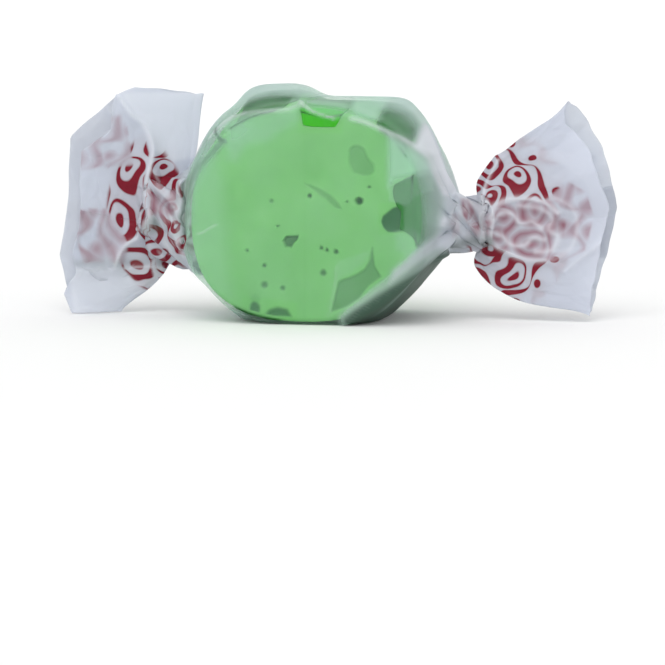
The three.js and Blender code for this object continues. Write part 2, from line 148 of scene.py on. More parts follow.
# Folds in the front of the sheet, and in its back: points (x, z) of the crest, its height, how far its
# flanks run, how milky it is and how wide that shows. The milk also paints the crest whiter, in part a
# painted highlight.
folds = [
    {"name": "crease from the lower right rim to the neck",
     "height": 0.75, "run": 0.7, "milky": 0.25, "wide": 0.5,
     "path": lower_right_crease},
    {"name": "rim at the upper right", "height": 0.3, "run": 0.5, "milky": 0.55, "wide": 0.25,
     "path": [(5.0, 22.3), (7.2, 21.6), (10.6, 19.8), (12.9, 17.8), (14.0, 15.6), (15.4, 13.4)]},
    {"name": "rim at the upper left", "height": 0.3, "run": 0.5, "milky": 0.4, "wide": 0.22,
     "path": [(-10.6, 19.9), (-9.0, 21.8), (-6.9, 22.5), (-4.2, 22.95), (-2.0, 23.15), (-0.7, 23.5)]},
    {"name": "rim at the left", "height": 0.4, "run": 1.6, "milky": 0.05, "wide": 0.5,
     "path": [(-12.4, 17.0), (-12.9, 12.0), (-11.9, 6.0)]},
    {"name": "over the bright stripe", "height": 0.3, "run": 0.4, "milky": 0.55, "wide": 0.18,
     "path": [(-0.6, 23.7), (1.2, 22.9), (3.3, 22.3)]},
    {"name": "upright, low on the face", "height": 0.1, "run": 0.4, "milky": 0.2, "wide": 0.16,
     "path": [(3.5, 6.4), (3.3, 4.2), (2.7, 1.2)]},
    {"name": "scratch at the left", "height": 0.03, "run": 0.2, "milky": 0.28, "wide": 0.14,
     "path": [(-11.8, 9.8), (-11.2, 9.95), (-10.7, 10.3), (-9.8, 10.8)]},
    {"name": "first streak at the right neck", "height": 0.35, "run": 0.35, "milky": 0.6, "wide": 0.2,
     "path": [(15.6, 13.2), (14.8, 12.2), (14.1, 10.9)]},
    {"name": "second streak at the right neck", "height": 0.3, "run": 0.35, "milky": 0.5, "wide": 0.2,
     "path": [(16.8, 12.8), (15.8, 11.6), (15.0, 9.9)]},
    {"name": "end of the right neck", "height": 0.1, "run": 0.3, "milky": 0.85, "wide": 0.3,
     "path": [(18.3, 12.7), (18.8, 10.9), (18.4, 9.0)]},
    {"name": "upper rim of the right mouth", "height": 0.6, "run": 0.6, "milky": 0.65, "wide": 0.32,
     "path": [(18.6, 11.6), (19.5, 12.7), (21.1, 13.4), (23.3, 13.5), (25.0, 13.0), (26.2, 12.0)]},
    {"name": "lower rim of the right mouth", "height": 0.6, "run": 0.6, "milky": 0.65, "wide": 0.32,
     "path": [(18.7, 8.9), (20.0, 7.9), (21.7, 7.0), (23.3, 6.6), (25.0, 6.6)]},
    {"name": "first wrinkle in the right mouth", "height": 0.4, "run": 0.5, "milky": 0.6, "wide": 0.34,
     "path": [(18.9, 10.9), (20.0, 11.8), (21.3, 11.6), (22.2, 10.7), (23.4, 10.9), (24.4, 10.2)]},
    {"name": "second wrinkle in the right mouth", "height": 0.4, "run": 0.5, "milky": 0.6, "wide": 0.34,
     "path": [(18.8, 9.9), (20.1, 9.4), (21.2, 8.4), (22.6, 8.3), (23.5, 9.1), (24.8, 8.9)]},
    {"name": "near ring of the right fan", "height": 0.35, "run": 0.8, "milky": 0.3, "wide": 0.3,
     "path": [(26.0, 13.6), (27.3, 12.9), (28.2, 11.6), (28.2, 9.1), (27.3, 7.6), (25.8, 6.6)]},
    {"name": "far ring of the right fan", "height": 0.35, "run": 1.3, "milky": 0.0, "wide": 1.0,
     "path": [(23.9, 17.8), (27.2, 17.0), (29.4, 14.9), (30.2, 12.2), (29.7, 8.9), (28.1, 6.2)]},
    {"name": "crease from the kink of the right edge",
     "height": 0.3, "run": 0.35, "milky": 0.25, "wide": 0.2,
     "path": [(31.8, 9.3), (29.3, 7.2), (27.1, 5.5)]},
    {"name": "third wrinkle in the right mouth", "height": 0.35, "run": 0.5, "milky": 0.5, "wide": 0.34,
     "path": [(22.0, 12.6), (24.4, 12.4), (25.6, 11.3), (25.3, 10.0), (26.3, 9.2), (25.6, 7.8),
              (23.9, 7.6)]},
    {"name": "crease in the right fan's upper lobe",
     "height": 0.45, "run": 0.35, "milky": 0.7, "wide": 0.2,
     "path": [(19.6, 17.6), (18.8, 16.0), (18.2, 14.0), (18.5, 12.8)]},
    {"name": "ridge of the left fan", "height": 0.75, "run": 0.7, "milky": 0.85, "wide": 0.22,
     "path": [(-22.7, 24.5), (-21.4, 22.5), (-20.1, 21.2), (-19.4, 19.6), (-19.3, 18.1), (-19.9, 15.7),
              (-20.0, 14.4), (-19.5, 11.3), (-19.2, 10.1)]},
    {"name": "slanting fold of the left fan", "height": 0.55, "run": 0.5, "milky": 0.8, "wide": 0.22,
     "path": [(-19.2, 10.5), (-21.0, 8.7), (-22.6, 7.6), (-23.6, 5.6)]},
    {"name": "seam of the left fan", "height": 0.4, "run": 0.4, "milky": 0.6, "wide": 0.18,
     "path": [(-28.4, 5.1), (-23.5, 5.2), (-18.6, 5.4)]},
    {"name": "upright crease beside the left neck", "height": 0.6, "run": 0.4, "milky": 0.8, "wide": 0.25,
     "path": [(-15.3, 14.6), (-15.7, 11.9), (-15.7, 8.8), (-15.3, 6.8)]},
    {"name": "first pleat of the left fan", "height": 0.5, "run": 0.4, "milky": 0.4, "wide": 0.2,
     "path": [(-16.6, 13.1), (-18.3, 14.2), (-19.2, 15.9)]},
    {"name": "second pleat of the left fan", "height": 0.45, "run": 0.4, "milky": 0.35, "wide": 0.2,
     "path": [(-16.6, 10.8), (-17.9, 10.4), (-19.4, 9.9)]},
    {"name": "third pleat of the left fan", "height": 0.5, "run": 0.4, "milky": 0.4, "wide": 0.2,
     "path": [(-16.6, 8.3), (-18.0, 7.2), (-19.6, 5.6)]},
    {"name": "rim at the upper right of the back",
     "back": True, "height": 0.3, "run": 0.5, "milky": 0.5, "wide": 0.22,
     "path": [(4.0, 22.6), (7.6, 21.4), (10.6, 19.6), (12.8, 17.2), (14.0, 15.0), (15.4, 13.2)]},
    {"name": "rim at the upper left of the back",
     "back": True, "height": 0.3, "run": 0.5, "milky": 0.45, "wide": 0.22,
     "path": [(-3.0, 23.2), (-7.0, 22.0), (-10.2, 19.8), (-12.2, 16.8), (-13.4, 14.0)]},
    {"name": "crease low on the left of the back",
     "back": True, "height": 0.6, "run": 0.6, "milky": 0.3, "wide": 0.4,
     "path": [(-3.2, 0.9), (-6.0, 2.4), (-8.6, 4.3), (-10.8, 6.2), (-12.8, 8.2), (-14.6, 10.0)]},
    {"name": "crease low on the right of the back",
     "back": True, "height": 0.35, "run": 0.5, "milky": 0.35, "wide": 0.25,
     "path": [(5.5, 1.8), (8.4, 3.9), (10.9, 6.4), (13.0, 8.6)]},
    {"name": "slanting crease over the back",
     "back": True, "height": 0.08, "run": 0.35, "milky": 0.25, "wide": 0.16,
     "path": [(2.0, 3.0), (3.4, 6.4), (5.6, 9.0)]},
    {"name": "scratch on the back", "back": True, "height": 0.03, "run": 0.2, "milky": 0.35, "wide": 0.13,
     "path": [(-6.6, 17.6), (-5.0, 16.6), (-3.8, 15.0)]},
    {"name": "upper ridge behind the right fan",
     "back": True, "height": 0.5, "run": 0.5, "milky": 0.6, "wide": 0.22,
     "path": [(18.6, 12.0), (21.5, 14.2), (25.5, 16.0), (29.5, 17.6)]},
    {"name": "lower ridge behind the right fan",
     "back": True, "height": 0.45, "run": 0.5, "milky": 0.5, "wide": 0.22,
     "path": [(18.8, 9.4), (22.0, 7.4), (26.0, 5.6), (30.4, 3.4)]},
    {"name": "upper ridge behind the left fan",
     "back": True, "height": 0.5, "run": 0.5, "milky": 0.6, "wide": 0.22,
     "path": [(-17.6, 13.4), (-20.0, 17.0), (-22.8, 21.0), (-24.4, 23.4)]},
]

# How rounded a crest is in the fans and on the body, and where in x one gives way to the other. A point
# counts as facing the front or the back more as that part of its normal grows, between these shares.
fold_blunt = 0.3
body_fold_blunt = 0.35
blunt_x = (15, 17)
facing_share = (0.05, 0.35)

# Painted shade: dark lines and patches of the sheet, in its folds: points (x, z), how dark, and how far
# that runs
shades = [
    {"name": "tick beside the upper left rim", "dark": 0.75, "run": 0.22,
     "path": [(-10.2, 20.9), (-9.4, 20.1), (-8.9, 19.8)]},
    {"name": "foot of the left rim", "dark": 0.5, "run": 0.35,
     "path": [(-9.3, 19.6), (-10.4, 18.4), (-11.6, 17.0), (-12.4, 15.2), (-12.9, 13.0), (-13.1, 9.5)]},
    {"name": "behind the upright crease", "dark": 0.7, "run": 0.3,
     "path": [(-14.6, 15.2), (-14.9, 12.0), (-14.9, 9.2)]},
    {"name": "knot of the left fan", "dark": 0.5, "run": 0.5,
     "path": [(-19.0, 10.4), (-18.4, 9.8)]},
    {"name": "under the lower right crease", "dark": 0.9, "run": 0.45,
     "path": [(4.6, 0.9), (6.6, 2.2), (8.7, 3.6), (10.3, 4.7), (11.5, 5.7), (12.7, 6.7), (13.8, 7.5)]},
    {"name": "over the seam of the left fan", "dark": 0.2, "run": 0.5,
     "path": [(-28.0, 5.7), (-23.0, 5.8), (-18.8, 6.0)]},
    {"name": "under the right neck", "dark": 0.5, "run": 0.6,
     "path": [(15.2, 8.6), (17.0, 8.9), (18.4, 8.9)]},
]

# Zones where the paper lies off the taffy, or closer to it: corners (x, z), how soft the border is, what
# share of its clearness is left, what share of its painted green glow from the taffy, and how dark the
# painted shade makes the paper
zones = [
    {"name": "right of the face", "soft": 0.6, "left": 0.36,
     "outline": [(9.1, 20.7), (9.1, 15.0), (9.7, 15.9), (13.2, 16.6), (14.3, 16.1), (12.9, 17.9),
                 (10.6, 19.9)]},
    {"name": "over the lobe of the right stripe", "soft": 0.2, "left": 1.15,
     "outline": [(8.1, 13.2), (10.6, 13.4), (10.8, 10.1), (8.1, 9.9)]},
    {"name": "over the blobs at the bottom", "soft": 0.3, "left": 1.15,
     "outline": [(-6.8, 3.0), (-0.8, 2.4), (-0.8, 0.6), (-6.8, 0.6)]},
    {"name": "below the right stripe", "soft": 0.6, "left": 0.76,
     "outline": [(9.8, 10.4), (11.7, 10.4), (13.0, 9.4), (13.6, 8.2), (11.7, 7.4), (10.1, 8.2)]},
    {"name": "upper left of the right stripe", "soft": 0.2, "left": 0.76,
     "outline": [(9.2, 15.9), (13.4, 16.7), (13.5, 14.6), (11.9, 14.0), (11.1, 13.0), (10.7, 13.1),
                 (9.2, 13.6)]},
    {"name": "lower right of the right stripe", "soft": 0.3, "left": 0.88,
     "outline": [(13.5, 14.6), (11.9, 14.0), (11.1, 13.0), (10.8, 12.3), (10.9, 10.7), (11.7, 10.3),
                 (12.6, 9.3), (13.6, 12.0)]},
    {"name": "under the upper left rim", "soft": 0.8, "left": 0.7,
     "outline": [(-9.0, 21.9), (-6.7, 22.6), (-0.6, 23.4), (-0.5, 22.2), (-2.2, 21.2), (-4.0, 19.9),
                 (-6.4, 19.3), (-7.6, 17.6), (-8.6, 17.8)]},
    {"name": "corner of the upper left rim", "soft": 1.2, "left": 0.72,
     "outline": [(-8.8, 21.7), (-6.7, 22.2), (-6.0, 21.0), (-7.1, 19.9), (-8.4, 19.4)]},
    {"name": "left third", "soft": 1.4, "left": 0.78,
     "outline": [(-13.0, 20.0), (-9.3, 18.0), (-8.8, 12.0), (-8.2, 3.0), (-12.0, 3.0), (-14.0, 9.0)]},
    {"name": "left margin", "soft": 0.5, "left": 0.85,
     "outline": [(-9.7, 20.6), (-9.0, 19.2), (-10.3, 17.2), (-11.6, 14.6), (-12.3, 11.0), (-13.5, 10.0),
                 (-14.0, 14.5), (-11.8, 18.8)]},
    {"name": "over the upper left stripe", "soft": 0.35, "left": 1.6,
     "outline": [(-8.2, 22.4), (-7.4, 24.2), (-4.9, 25.0), (-2.4, 24.6), (-1.8, 23.9), (-4.0, 23.4)]},
    {"name": "over the upper right stripe", "soft": 0.4, "left": 1.5,
     "outline": [(7.4, 23.3), (11.2, 22.9), (11.6, 19.2), (9.5, 20.6), (7.6, 21.5)]},
    {"name": "between the stripes", "soft": 0.5, "left": 0.5,
     "outline": [(4.4, 24.8), (8.0, 24.8), (7.9, 22.0), (5.4, 22.5)]},
    {"name": "right shoulder", "soft": 0.4, "left": 0.05, "painted_glow": 0.1,
     "outline": [(11.7, 24.6), (11.6, 19.3), (12.9, 18.0), (13.6, 16.0), (14.3, 14.0), (17.0, 13.0),
                 (17.0, 20.0)]},
    {"name": "right end of the right stripe", "soft": 0.5, "left": 0.95,
     "outline": [(12.4, 16.4), (13.6, 15.6), (13.9, 10.6), (12.9, 9.4), (12.3, 12.0)]},
    {"name": "root of the right neck", "soft": 0.5, "left": 0.2, "painted_glow": 0.3,
     "outline": [(14.4, 14.2), (14.2, 11.0), (13.9, 8.4), (17.0, 8.0), (17.0, 14.0)]},
    {"name": "right neck", "soft": 0.5, "left": 1.0, "dark": 0.12,
     "outline": [(14.6, 13.6), (18.5, 13.2), (18.5, 8.8), (14.6, 8.6)]},
    {"name": "fold along the lower right", "soft": 0.2, "left": 0.7, "painted_glow": 0.8, "dark": 0.16,
     "outline": lower_right_crease[:7] + [(13.6, 9.2), (12.4, 8.3), (11.3, 7.3), (10.1, 6.1), (8.9, 5.3),
                                          (7.7, 4.4), (6.1, 3.0), (4.7, 1.9)]},
    {"name": "upper end of that fold", "soft": 0.5, "left": 0.35, "painted_glow": 0.2,
     "outline": [(9.4, 4.7)] + lower_right_crease[4:] + [(14.8, 10.2), (13.4, 9.4), (11.3, 7.6),
                                                         (9.6, 6.2)]},
    # Painted shade: this facet faces down, under the crease
    {"name": "facet under the lower right crease", "soft": 0.25, "left": 1.0, "dark": 0.92,
     "outline": [(4.6, 0.9), (6.9, 2.4), (8.9, 3.8), (10.5, 4.9), (11.7, 5.9), (12.8, 6.8), (14.4, 7.9),
                 (15.6, 7.6), (14.2, 3.0), (10.0, -1.0), (4.6, -1.0)]},
    {"name": "over the bright stripe", "soft": 0.25, "left": 1.3,
     "outline": [(-0.6, 23.4), (1.4, 22.7), (4.0, 22.0), (4.0, 20.9), (-0.6, 20.9)]},
    {"name": "above the fold over the bright stripe", "soft": 0.3, "left": 0.75,
     "outline": [(-0.4, 23.9), (1.4, 23.1), (4.0, 22.4), (5.0, 23.0), (4.0, 24.0), (1.0, 24.4)]},
    {"name": "wedge low on the face", "soft": 0.3, "left": 0.86,
     "outline": [(3.6, 7.0), (7.2, 8.2), (6.4, 6.8), (5.1, 5.8), (3.7, 5.2)]},
]

# The zones are in front, and fade out behind the middle of the slice, between these values of -y
zones_end = (-4.0, -1.0)

# Behind the lower right crease the sheet faces down and lies in shade: how dark, by how far it faces down,
# and where in x and y that starts and ends. Nearer the front than dark_ahead, only what faces it is dark.
shaded_below = 0.9
below_facing = (0.2, 0.45)
below_x = ((4.5, 6.5), (12.5, 14))
below_y = ((-9.5, -8.5), (5, 8))
dark_ahead = -8

# How clear the paper is round the side of the slice, as a share of that on the cut faces. face_border is
# how far in from them it changes. The belt half way between the faces is less clear and has less of the
# painted green glow of the taffy, and its borders in y are belt_width.
side_clearness = 0.75
face_border = (0.9, 0.1)
belt_clearness = 0.3
belt_painted_glow = 0.85
belt_width = (1.5, 6.5)

# Painted light: where the sheet is painted palest, to brighten the left fan and the right shoulder:
# corners (x, z)
painted_light_zones = [
    [(11.7, 24.6), (11.6, 19.3), (12.9, 18.0), (14.3, 14.0), (17.0, 13.0), (17.0, 24.6)],
    [(-22.2, 24.9), (-20.3, 21.4), (-19.2, 18.6), (-17.0, 17.2), (-12.8, 18.0), (-12.8, 24.9)],
    [(-28.4, 5.0), (-17.0, 5.4), (-17.0, 3.6), (-21.0, 0.0), (-28.0, 0.0)],
]

# Where the fans show the print from behind, soft and pink: how strong it is there, and corners (x, z)
pink_zones = [
    (1.0, [(18.5, 11.5), (19.5, 12.7), (21.7, 13.4), (25.0, 13.3), (26.6, 13.4), (27.2, 11.0),
           (26.9, 8.0), (25.4, 6.7), (23.3, 6.6), (20.0, 7.9), (18.7, 8.9)]),
    (0.6, [(25.0, 13.3), (27.4, 15.4), (29.4, 14.2), (30.2, 11.6), (29.4, 7.9), (26.7, 6.6)]),
    (0.5, [(-27.2, 21.5), (-22.0, 22.5), (-21.4, 16.8), (-27.2, 16.2)]),
    (0.6, [(-28.2, 11.8), (-24.6, 11.8), (-22.2, 8.0), (-22.4, 5.8), (-27.0, 5.8)]),
    (1.0, [(-16.0, 14.0), (-19.3, 13.6), (-19.3, 11.2), (-16.0, 11.0)]),
    (1.0, [(15.5, 13.7), (16.7, 13.5), (18.2, 10.6), (17.6, 9.4), (16.3, 11.2)]),
    (0.35, [(14.9, 11.8), (15.7, 12.2), (16.0, 9.6), (15.1, 9.2)]),
]

# The sheet crumples least where it touches the taffy, and most from crumple_gap off it. It crumples less
# on the body than in the fans, and crumple_x is where in x that changes.
crumple_gap = 1.2
crumple_least = 0.02
crumple_body = 0.3
crumple_x = (18, 22)

# How finely the sheet is divided
columns = 400
front_density = 2.0
fan_rows = 84
neck_rows = 9
body_rows = 166
evenness = 0.8

# Stripes of jelly: points (turn, depth) of the inner side of each, clockwise from the top, and how much
# of its depth a stripe has at the front face, where some are covered by taffy, between cover_start and
# cover_end behind it. swing is how much further round a stripe lies at the front, and all sway a little
# along the slice. The bright stripe starts to brighten at thin_from behind the front.
jelly_stripes = {
    "jelly_top": {
        "front": 1,
        "side": [(-3.4, 0), (-3.0, 1.75), (3, 1.9), (11, 1.95), (17, 1.9), (18.8, 1.8), (19.3, 0)],
    },
    "jelly_upper_right": {
        "front": 0, "swing": 9.5,
        "side": [(31, 0), (32.5, 1.6), (40, 1.8), (48, 1.6), (50, 0)],
    },
    "jelly_right": {
        "front": 1,
        "side": [(68.2, 0), (69.2, 2.4), (73, 2.9), (77, 3.05), (82, 2.9), (86, 2.4), (96.5, 2.4),
                 (97.5, 1.6), (99.5, 0.8), (102, 0.3), (104, 0)],
    },
    "jelly_bottom_left": {
        "front": 0,
        "side": [(192, 0), (195, 1.8), (201, 2.0), (207, 2.9), (213, 2.2), (217, 0)],
    },
    "jelly_upper_left": {
        "front": 0, "swing": -9,
        "side": [(325, 0), (327, 1.4), (338, 1.9), (348, 1.6), (351, 0)],
    },
}
jelly_clearance = 0.01
cover_start = 0.5
cover_end = 1.1
swing_length = 3.5
stripe_sway = 1.2
sway_length = 5.5
thin_from = 5
dull_brightness = 0.1

# The flat spot under the slice is this high above the floor
flat_below = 0.2

# Marks in the front face of the taffy, dents painted darker: shade in the bubble, sliver, torn hole and
# spike, and the dark green of jelly in the lobe, the blobs and the haze over one: corners (x, z)
face_marks = [
    {"name": "bubble", "dark": 0.3, "depth": 0.18, "soft": 0.14,
     "outline": [(4.8, 18.9), (5.2, 19.4), (5.9, 19.4), (6.4, 19.1), (6.9, 18.0), (7.5, 17.4),
                 (7.6, 16.8), (7.1, 16.3), (6.4, 16.2), (5.4, 16.5), (4.9, 17.4)]},
    {"name": "sliver", "dark": 0.28, "depth": 0.15, "soft": 0.1,
     "outline": [(-0.1, 15.35), (1.4, 14.85), (2.7, 14.1), (3.6, 13.2), (4.0, 12.6), (3.3, 12.7),
                 (2.3, 13.65), (1.1, 14.5)]},
    {"name": "torn hole", "dark": 0.75, "depth": 0.5, "soft": 0.13,
     "outline": [(-2.4, 9.15), (-2.1, 9.6), (-1.4, 9.65), (-0.75, 9.7), (-0.9, 9.25), (-1.3, 8.9),
                 (-1.5, 8.45), (-2.1, 8.5)]},
    {"name": "lobe of the right stripe", "dark": 1.0, "depth": 0.1, "soft": 0.12,
     "outline": [(10.8, 13.2), (10.8, 10.4), (9.8, 10.2), (9.1, 10.2), (8.6, 10.6), (8.3, 11.3),
                 (8.5, 11.9), (9.0, 12.3), (9.6, 12.8)]},
    {"name": "blob at the bottom", "dark": 0.9, "depth": 0.1, "soft": 0.2,
     "outline": [(-6.2, 1.2), (-6.1, 2.1), (-5.8, 2.5), (-5.3, 2.4), (-5.0, 1.9), (-5.1, 1.1)]},
    {"name": "haze over that blob", "dark": 0.25, "depth": 0.02, "soft": 0.25,
     "outline": [(-6.1, 2.6), (-6.0, 3.2), (-5.3, 3.3), (-4.9, 2.8), (-5.2, 2.4)]},
    {"name": "long blob at the bottom", "dark": 0.85, "depth": 0.1, "soft": 0.25,
     "outline": [(-4.6, 0.9), (-4.0, 1.6), (-3.0, 1.9), (-2.0, 1.7), (-1.5, 0.9)]},
    {"name": "spike", "dark": 0.5, "depth": 0.2, "soft": 0.12,
     "outline": [(7.4, 8.6), (7.6, 6.5), (8.3, 5.4), (7.0, 4.4), (5.9, 3.0), (4.6, 2.1), (2.9, 1.5),
                 (3.3, 3.3), (3.7, 4.8), (5.5, 5.5), (6.6, 6.2), (7.1, 7.1), (7.25, 8.0)]},
]

# Pits in the front face, and in the back one: (x, z, radius, depth). The side of a pit lies between these
# shares of its radius. A pit is painted darker, as shade in it, the deeper it is, from pit_dark on.
pit_side = (1.15, 0.35)
pit_dark = 0.5
face_pits = [
    (5.9, 13.5, 0.46, 0.6), (-3.7, 13.4, 0.32, 0.05),
    (0.5, 14.0, 0.28, 0.3), (-3.0, 10.7, 0.16, 0.2), (1.8, 8.4, 0.24, 0.25), (2.4, 8.2, 0.22, 0.25),
    (3.4, 8.0, 0.3, 0.3), (-4.5, 6.4, 0.28, 0.25), (-6.4, 8.0, 0.22, 0.15), (2.0, 5.7, 0.42, 0.2),
    (-4.5, 4.3, 0.46, 0.2), (-2.5, 4.0, 0.34, 0.2), (7.0, 15.0, 0.2, 0.2), (4.6, 13.4, 0.18, 0.15),
]
back_pits = [
    (-4.2, 16.1, 0.5, 0.4), (3.6, 12.2, 0.42, 0.3), (-1.6, 8.2, 0.36, 0.25), (5.4, 16.8, 0.4, 0.25),
    (0.9, 18.4, 0.38, 0.25), (-3.3, 5.0, 0.45, 0.2), (6.2, 8.4, 0.36, 0.25), (-6.8, 11.3, 0.36, 0.2),
]

# The printed border, and where the left fan's ridge breaks it. Rows of rings and dots: how far out,
# spacing, radius, how far the round opening is off the middle, its radius, and that of the dot in it.
# Waves: how far out, length, height, and half the stroke, which swells and thins. The far ones show only
# from behind. row_shift is how much a row is moved on for each millimetre that it lies out.
loop_row = 6.7
row_shift = 0.37
print_rows = [
    (loop_row, 3.7, 1.55, (0.22, 0.2), 1.0, 0.42),
    (3.3, 2.2, 0.7, (-0.1, 0.15), 0.25, -1),
    (9.9, 3.7, 0.5, (0, 0), -1, -1),
]
print_waves = [(4.45, 3.3, 0.3, 0.26), (8.8, 4.4, 0.35, 0.24)]
far_rows = [(12.9, 3.2, 0.9, (0, 0), -1, -1), (1.4, 1.9, 0.95, (0.2, 0), 0.15, -1)]
far_waves = [(11.4, 4.2, 0.8, 0.3)]
print_end = 11.1
print_beyond = 14.2
print_soft = 6
back_print_shift = 2.1
soft_ink = 0.8
ridge_takes = (-2.9, 1.9)
left_ridge = [(-22.7, 24.5), (-20.1, 21.2), (-19.3, 18.1), (-20.0, 14.4), (-19.2, 10.1), (-19.2, 0)]
# Painted shade on the back layer of each fan
back_layer_dark = 0.12

paper_slot = "wax_paper"
taffy_slot = "taffy"
jelly_slot = "jelly"

# Camera: at the photograph's angle, 300 mm away, with 74 mm across the frame at the taffy
camera_azimuth = 11
camera_elevation = 6
camera_distance = 300
frame_width_mm = 74
frame_pixels = 665
aim_pixels = (9.5, -122.5)


def smoothstep(value, low, high):
    t = np.clip((value - low) / (high - low), 0, 1)
    return t * t * (3 - 2 * t)


def mix(a, b, share):
    return a + (b - a) * share


def between(value, start, end):
    """1 between two soft borders and 0 outside them. Each border is a pair of values."""
    return smoothstep(value, *start) * (1 - smoothstep(value, *end))


def points_along(table, where):
    """The value at where in a table of (place, value) points, straight from point to point."""
    places, values = zip(*table)
    return np.interp(where, places, values)


def distance_to_path(x, z, path):
    """Distance of each (x, z) to a line through the points of a path."""
    nearest = np.full(np.broadcast(x, z).shape, np.inf)
    for (ax, az), (bx, bz) in zip(path, path[1:]):
        dx, dz = bx - ax, bz - az
        t = np.clip(((x - ax) * dx + (z - az) * dz) / (dx * dx + dz * dz), 0, 1)
        nearest = np.minimum(nearest, np.hypot(x - ax - t * dx, z - az - t * dz))
    return nearest


def curved(path, steps=4):
    """The points of a smooth line through the points of a path."""
    points = np.array([path[0], *path, path[-1]], float)
    t = np.linspace(0, 1, steps, endpoint=False)[:, None]
    line = []
    for a, b, c, d in zip(points, points[1:], points[2:], points[3:]):
        line.append(b + 0.5 * t * (c - a + t * (2 * a - 5 * b + 4 * c - d + t * (3 * b - a - 3 * c + d))))
    return np.concatenate([*line, points[-1:]])


def inside_outline(x, z, outline, soft):
    """1 inside a closed outline and 0 outside, over a soft border."""
    closed = outline + outline[:1]
    odd = np.zeros(np.broadcast(x, z).shape, bool)
    for (ax, az), (bx, bz) in zip(closed, closed[1:]):
        if az != bz:
            crossing = ax + (z - az) * (bx - ax) / (bz - az)
            odd ^= ((az > z) != (bz > z)) & (x < crossing)
    signed = np.where(odd, 1, -1) * distance_to_path(x, z, closed)
    return smoothstep(signed, -soft, soft)


def zone_share(zone, points):
    """1 in a zone of the sheet and 0 outside it, and behind the middle of the slice."""
    inside = inside_outline(points[..., 0], points[..., 2], zone["outline"], zone["soft"])
    return inside * smoothstep(-points[..., 1], *zones_end)


def pleat(around):
    """Sharp folds of uneven width round the tube: 1 on a ridge, -1 in a valley."""
    shift = pleat_uneven[0] * np.sin(around + 1) + pleat_uneven[1] * np.sin(2 * around)
    return 2 / np.pi * np.arcsin(np.sin(pleat_count * around + shift))


def outline_reach(turn):
    """From the middle of the slice to the paper round it, by the angle from the top."""
    s, c = np.sin(turn), np.cos(turn)
    gauge = (abs(s / half_width) ** squareness + abs(c / half_height) ** squareness) ** (1 / squareness)
    from_bulge = (np.degrees(turn) - bulge["turn"] + 180) % 360 - 180
    return 1 / gauge + bulge["height"] * np.exp(-((from_bulge / bulge["half_turn"]) ** 2))


def paper_above(turn, y):
    """From the axis of the slice out to the paper, by the angle from the top and the depth."""
    reach = outline_reach(turn) + 1
    for _ in range(6):
        direction = np.stack(np.broadcast_arrays(reach * np.sin(turn), y, reach * np.cos(turn)), axis=-1)
        direction = direction / np.linalg.norm(direction, axis=-1, keepdims=True)
        reach = np.sqrt(np.maximum(paper_reach(direction) ** 2 - y * y, 1))
    return reach


def slice_reach(turn, y):
    """From the axis out to the side of the slice, which swells behind its rims into the paper's room."""
    flat = outline_reach(turn) - paper_room
    room = np.maximum(0, paper_above(turn, y) - swell_room - flat)
    behind_rims = smoothstep(slice_depth / 2 - abs(y), rim_round, swell_length)
    around_to_there = (np.degrees(turn) + 180) % 360 - 180
    return flat + room * points_along(swell, around_to_there) * behind_rims


def paper_reach(direction):
    """From the middle of the taffy to the paper in a direction: facets that meet in rounded folds."""
    total = np.zeros(direction.shape[:-1])
    facets = [((0, -1, 0), slice_depth / 2), ((0, 1, 0), slice_depth / 2)]
    for turn, reach in shoulders:
        facets.append(((np.sin(np.radians(turn)), 0, np.cos(np.radians(turn))), reach))
    end = np.radians(end_turn)
    for x in (-1, 1):
        for y in (-1, 1):
            facets.append(((x * np.cos(end), y * np.sin(end), 0), end_reach))
    for normal, reach in facets:
        total += np.maximum(0, direction @ np.array(normal) / reach) ** paper_fold
    x, y, z = np.moveaxis(direction, -1, 0)
    across = np.hypot(x, z) / outline_reach(np.arctan2(x, z))
    for face in (-1, 1):
        cone = across + face * y * rim_slope / half_width
        scale = 1 + rim_slope * (slice_depth / 2) / half_width
        total += np.maximum(0, cone / scale) ** paper_fold
    reach = total ** (-1 / paper_fold)
    turn = (np.degrees(np.arctan2(x, z)) - tent["turn"]) / tent["half_turn"]
    depth = (y * reach - tent["depth"]) / tent["half_depth"]
    return reach + tent["height"] * np.exp(-(turn**4)) * np.exp(-(depth**4))


neck_angle = np.arcsin(neck_radius / end_reach)


def body_points(along, around):
    """The paper on the body. along goes from 0 at the right neck to 1 at the left one."""
    angle = neck_angle + (np.pi - 2 * neck_angle) * along + 0 * around
    direction = np.stack(
        [np.cos(angle), -np.sin(angle) * np.cos(around), np.sin(angle) * np.sin(around)], axis=-1
    )
    points = direction * paper_reach(direction)[..., None]
    from_neck = np.hypot(points[..., 1], points[..., 2]) - neck_radius
    near_end = smoothstep(abs(points[..., 0]), half_width - 2, end_reach - 0.6)
    gather = pleat_height * near_end * np.exp(-np.maximum(0, from_neck) / pleat_length)
    points = points + direction * (gather * pleat(around))[..., None]
    for fan in (right_fan, left_fan):
        this_end = near_end * (fan["side"] * points[..., 0] > 0)
        points[..., 2] *= 1 + fan["tall"] * this_end * np.exp(-np.maximum(0, from_neck) / neck_tall_fade)
    points[..., 2] += centre_height - neck_drop * near_end
    return points


def neck_points(fan, along, around):
    """The paper on a neck, which turns as it goes. along goes from 0 at the body to 1 at the fan."""
    side = fan["side"]
    turned = around - side * np.radians(neck_twist) * along
    waist = mix(neck_radius, fan["neck_tip"], smoothstep(along, 0, 0.7))
    radius = waist * (1 + neck_pleat * pleat(around))
    body_end = end_reach * np.cos(neck_angle)
    reach = mix(body_end, fan["start"] + neck_length, along) + 0 * around
    height = centre_height - neck_drop + radius * (1 + fan["tall"]) * np.sin(turned)
    return np.stack([side * reach, -radius * np.cos(turned), height], axis=-1)


